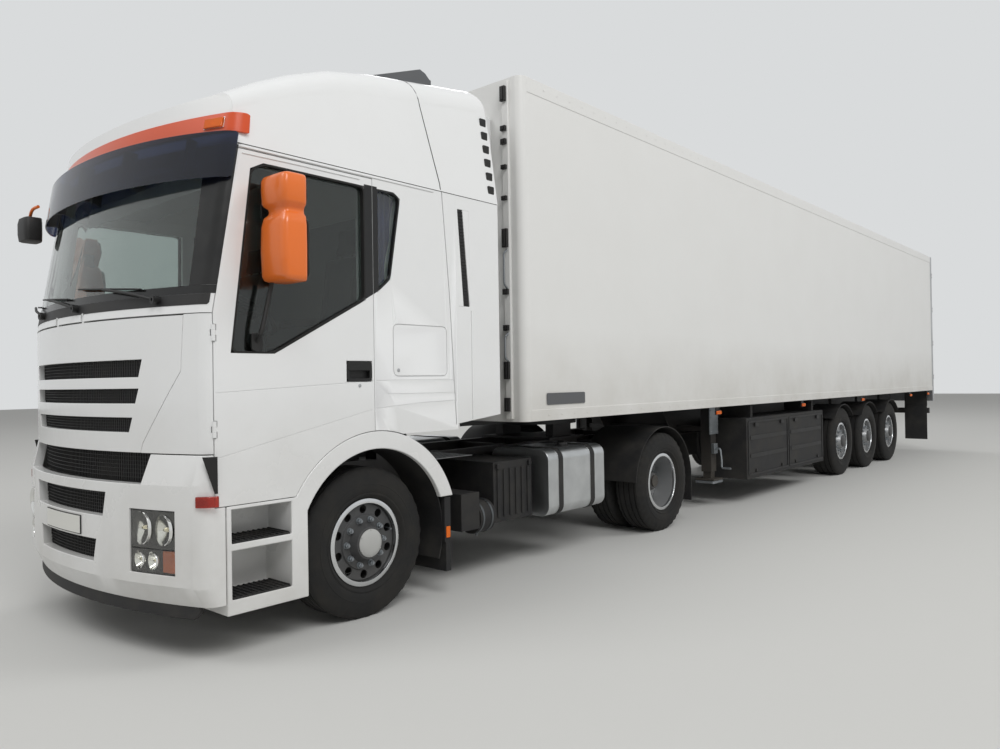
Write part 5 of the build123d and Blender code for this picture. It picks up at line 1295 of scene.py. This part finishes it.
# Curtains: pleated cloth on a rail behind each side window's rear edge
pleats, columns, rows = 7, 48, 14
curtain_top, curtain_height, curtain_width = 2.838, 0.878, 0.335
for side, name in sides:
    grid = []
    for r in range(rows + 1):
        down = r / rows
        line = []
        for c in range(columns + 1):
            u = c / columns
            fold = 0.016 * math.sin(2 * math.pi * pleats * u + 0.5 * math.sin(3 * u)) * (0.75 + 0.35 * down)
            sway = 0.004 * math.sin(5.0 * u + 4.0 * down)
            line.append((side * (1.178 + 0.6 * fold + sway), front_axle - 0.045 + curtain_width * u - 0.012 * down,
                         curtain_top - curtain_height * down))
        grid.append(lay(line))
    for upper, lower in zip(grid, grid[1:]):
        for c in range(columns):
            drawing.faces.new((upper[c], upper[c + 1], lower[c + 1], lower[c]))
    curtain = from_drawing(f"curtain_{name}", take_drawing())
    own(curtain, "tractor", curtain_cloth, 60)
    sweep([(side * 1.178, front_axle - 0.06, 2.848), (side * 1.178, front_axle + 0.3, 2.848)], 0.009, 10)
    rail = add_piece(f"curtain_rail_{name}", "tractor", trim_moulding)

# Dashboard: instrument hood, blank dials, air vents, blank screen, switches, stalks and the wheel's boss
across_cab([(-0.935, 1.985), (-0.93, 2.06), (-0.8, 2.045), (-0.765, 1.985), (-0.77, 1.915), (-0.905, 1.975)], 0.02,
           0.4, 0.84)
across_cab([(-0.76, 1.64), (-0.7, 1.66), (-0.712, 1.88), (-0.766, 1.905)], 0.015, -0.18, 0.33)
add_piece("instrument_hood", "tractor", dash_moulding, 6)
for x in (0.52, 0.72):
    turned([(0.0, core), (0.0, 0.062), (0.006, 0.07), (0.01, 0.066), (0.004, 0.058), (0.004, core)],
           (x, front_axle - 0.7655, 1.958), 36, 1, "Y")
bar((-0.11, 0.11), (front_axle - 0.711, front_axle - 0.7045), (1.735, 1.86))
add_piece("blank_dials", "tractor", black_ceramic, 0)
for x in (-1.0, -0.64, -0.26, 0.37, 0.99):
    for k in range(5):
        z = 1.912 + 0.0105 * k
        bar((x - 0.06, x + 0.06), (front_axle - 0.8, front_axle - 0.775 - 0.9 * (z - 1.912)), (z, z + 0.004))
for row in range(2):
    for k in range(8):
        x = -0.135 + 0.055 * k
        bar((x, x + 0.044), (front_axle - 0.712, front_axle - 0.698), (1.672 + 0.03 * row, 1.694 + 0.03 * row))
for x, tip in ((0.47, 0.44), (0.77, 0.8)):
    sweep(rounded([(0.62, front_axle - 0.64, 1.95), (x, front_axle - 0.61, 1.985), (tip, front_axle - 0.6, 1.99)],
                  0.02), 0.009, 8)
add_piece("dashboard_controls", "tractor", grille_moulding, 0.8)
tilt = Matrix.Rotation(math.radians(-35), 3, "X")
hub = Vector((0.62, front_axle - 0.56, 2.01))
turns = [2 * math.pi * k / 32 for k in range(32)]
join_rings([lay(hub + tilt @ Vector((radius * math.cos(t), 0.9 * radius * math.sin(t), height)) for t in turns)
            for height, radius in ((0.012, 0.085), (0.026, 0.082), (0.038, 0.066), (0.043, 0.03))])
add_piece("wheel_boss", "tractor", dash_moulding, 2)

# Lining: header shelf, rear panel, rolled sun blind and the floor's rubber mat
across_cab([(-0.86, 2.87), (-0.4, 2.87), (-0.36, 3.02), (-0.83, 3.01)], 0.03, -1.08, 1.08)
across_cab(corners(0.7, 0.716, 1.9, 2.88), 0.005, -1.13, 1.13)
add_piece("cab_lining", "tractor", trim_moulding, 8)
sweep([(-0.98, front_axle - 0.9, 2.85), (0.98, front_axle - 0.9, 2.85)], 0.026, 16)
bar((-0.96, 0.96), (front_axle - 0.925, front_axle - 0.922), (2.745, 2.85))
bar((-0.965, 0.965), (front_axle - 0.931, front_axle - 0.917), (2.728, 2.746))
add_piece("sun_blind", "tractor", trim_moulding, 1)
for k in range(34):
    x = -1.06 + 0.062 * k
    bar((x, x + 0.03), (front_axle - 0.7, front_axle - 0.3), (1.2655, 1.27))
bar((-1.08, 1.08), (front_axle - 0.72, front_axle - 0.28), (1.2605, 1.2655))
add_piece("floor_mat", "tractor", seal_rubber, 0.6)

# Inside of the doors: trim panel, arm rest, speaker rings and pull
for side, name in sides:
    on_cab(side, [(-1.02, 1.3), (-0.06, 1.42), (-0.06, 2.06), (-0.745, 1.69), (-1.02, 1.69)], 0.03, -0.0553, -0.0673)
    add_piece(f"door_trim_{name}", f"door_{name}", trim_moulding, 4)
    on_cab(side, [(-0.62, 1.69), (-0.13, 1.76), (-0.13, 1.83), (-0.62, 1.745)], 0.02, -0.0676, -0.1276)
    inner = side * (cab_half - 0.0676)
    for k in range(3):
        turned([(along, r + 0.026 * k) for along, r in ((0.0, 0.03), (0.0, 0.038), (0.006, 0.036), (0.006, 0.032))],
               (inner, front_axle - 0.85, 1.46), 32, -side)
    sweep(rounded([(inner - side * out, front_axle + y, z) for out, y, z in
                   ((0, -0.42, 1.56), (0.045, -0.4, 1.565), (0.045, -0.22, 1.59), (0, -0.2, 1.592))], 0.02), 0.012, 8)
    add_piece(f"door_rest_{name}", f"door_{name}", dash_moulding, 3)

# A plain pale floor and soft lamps; the camera sees white past the floor's edge
floor_half = 60.0
drawing.faces.new(lay((x, y, 0) for x, y in corners(-floor_half, floor_half, -floor_half, floor_half)))
floor = from_drawing("floor", take_drawing())
material, tree, _ = new_material("floor_pale")
finish_with(tree, put(tree, "BsdfPrincipled", {"Base Color": linear("#c9c9c6"), "Roughness": 0.9}))
floor.data.materials.append(material)

world = bpy.data.worlds.new("studio")
bpy.context.scene.world = world
world.use_nodes = True
tree = world.node_tree
tree.nodes.clear()
rays = put(tree, "LightPath").outputs
seen = put(tree, "Math", {"operation": "MAXIMUM"}, {0: rays["Is Camera Ray"], 1: rays["Is Glossy Ray"]}).outputs[0]
seen = put(tree, "Math", {"operation": "MAXIMUM"}, {0: seen, 1: rays["Is Transmission Ray"]}).outputs[0]
soft = put(tree, "Background", {"Color": linear("#ffffff"), "Strength": 0.4}).outputs[0]
white = put(tree, "Background", {"Color": linear("#d9dbdc"), "Strength": 1.0}).outputs[0]
put(tree, "OutputWorld", (), {"Surface": put(tree, "MixShader", (), {0: seen, 1: soft, 2: white}).outputs[0]})
for lamp_name, place, target, lamp_size, watts in (
        ("key", (15, -13, 17), (0, -4, 1.5), 10.0, 2000), ("fill", (17, 7, 18), (0, 2, 1.5), 10.0, 1500),
        ("front", (-5, -19, 17), (0, -6, 2), 9.0, 1000), ("back", (-16, 15, 16), (0, 2, 1.5), 10.0, 1000)):
    light = bpy.data.lights.new(lamp_name, "AREA")
    light.energy = watts
    light.size = lamp_size
    lamp = bpy.data.objects.new(lamp_name, light)
    lamp.location = place
    lamp.rotation_euler = (Vector(target) - Vector(place)).to_track_quat("-Z", "Y").to_euler()
    lamp.visible_glossy = lamp_name != "fill"
    bpy.context.scene.collection.objects.link(lamp)

bpy.context.view_layer.update()
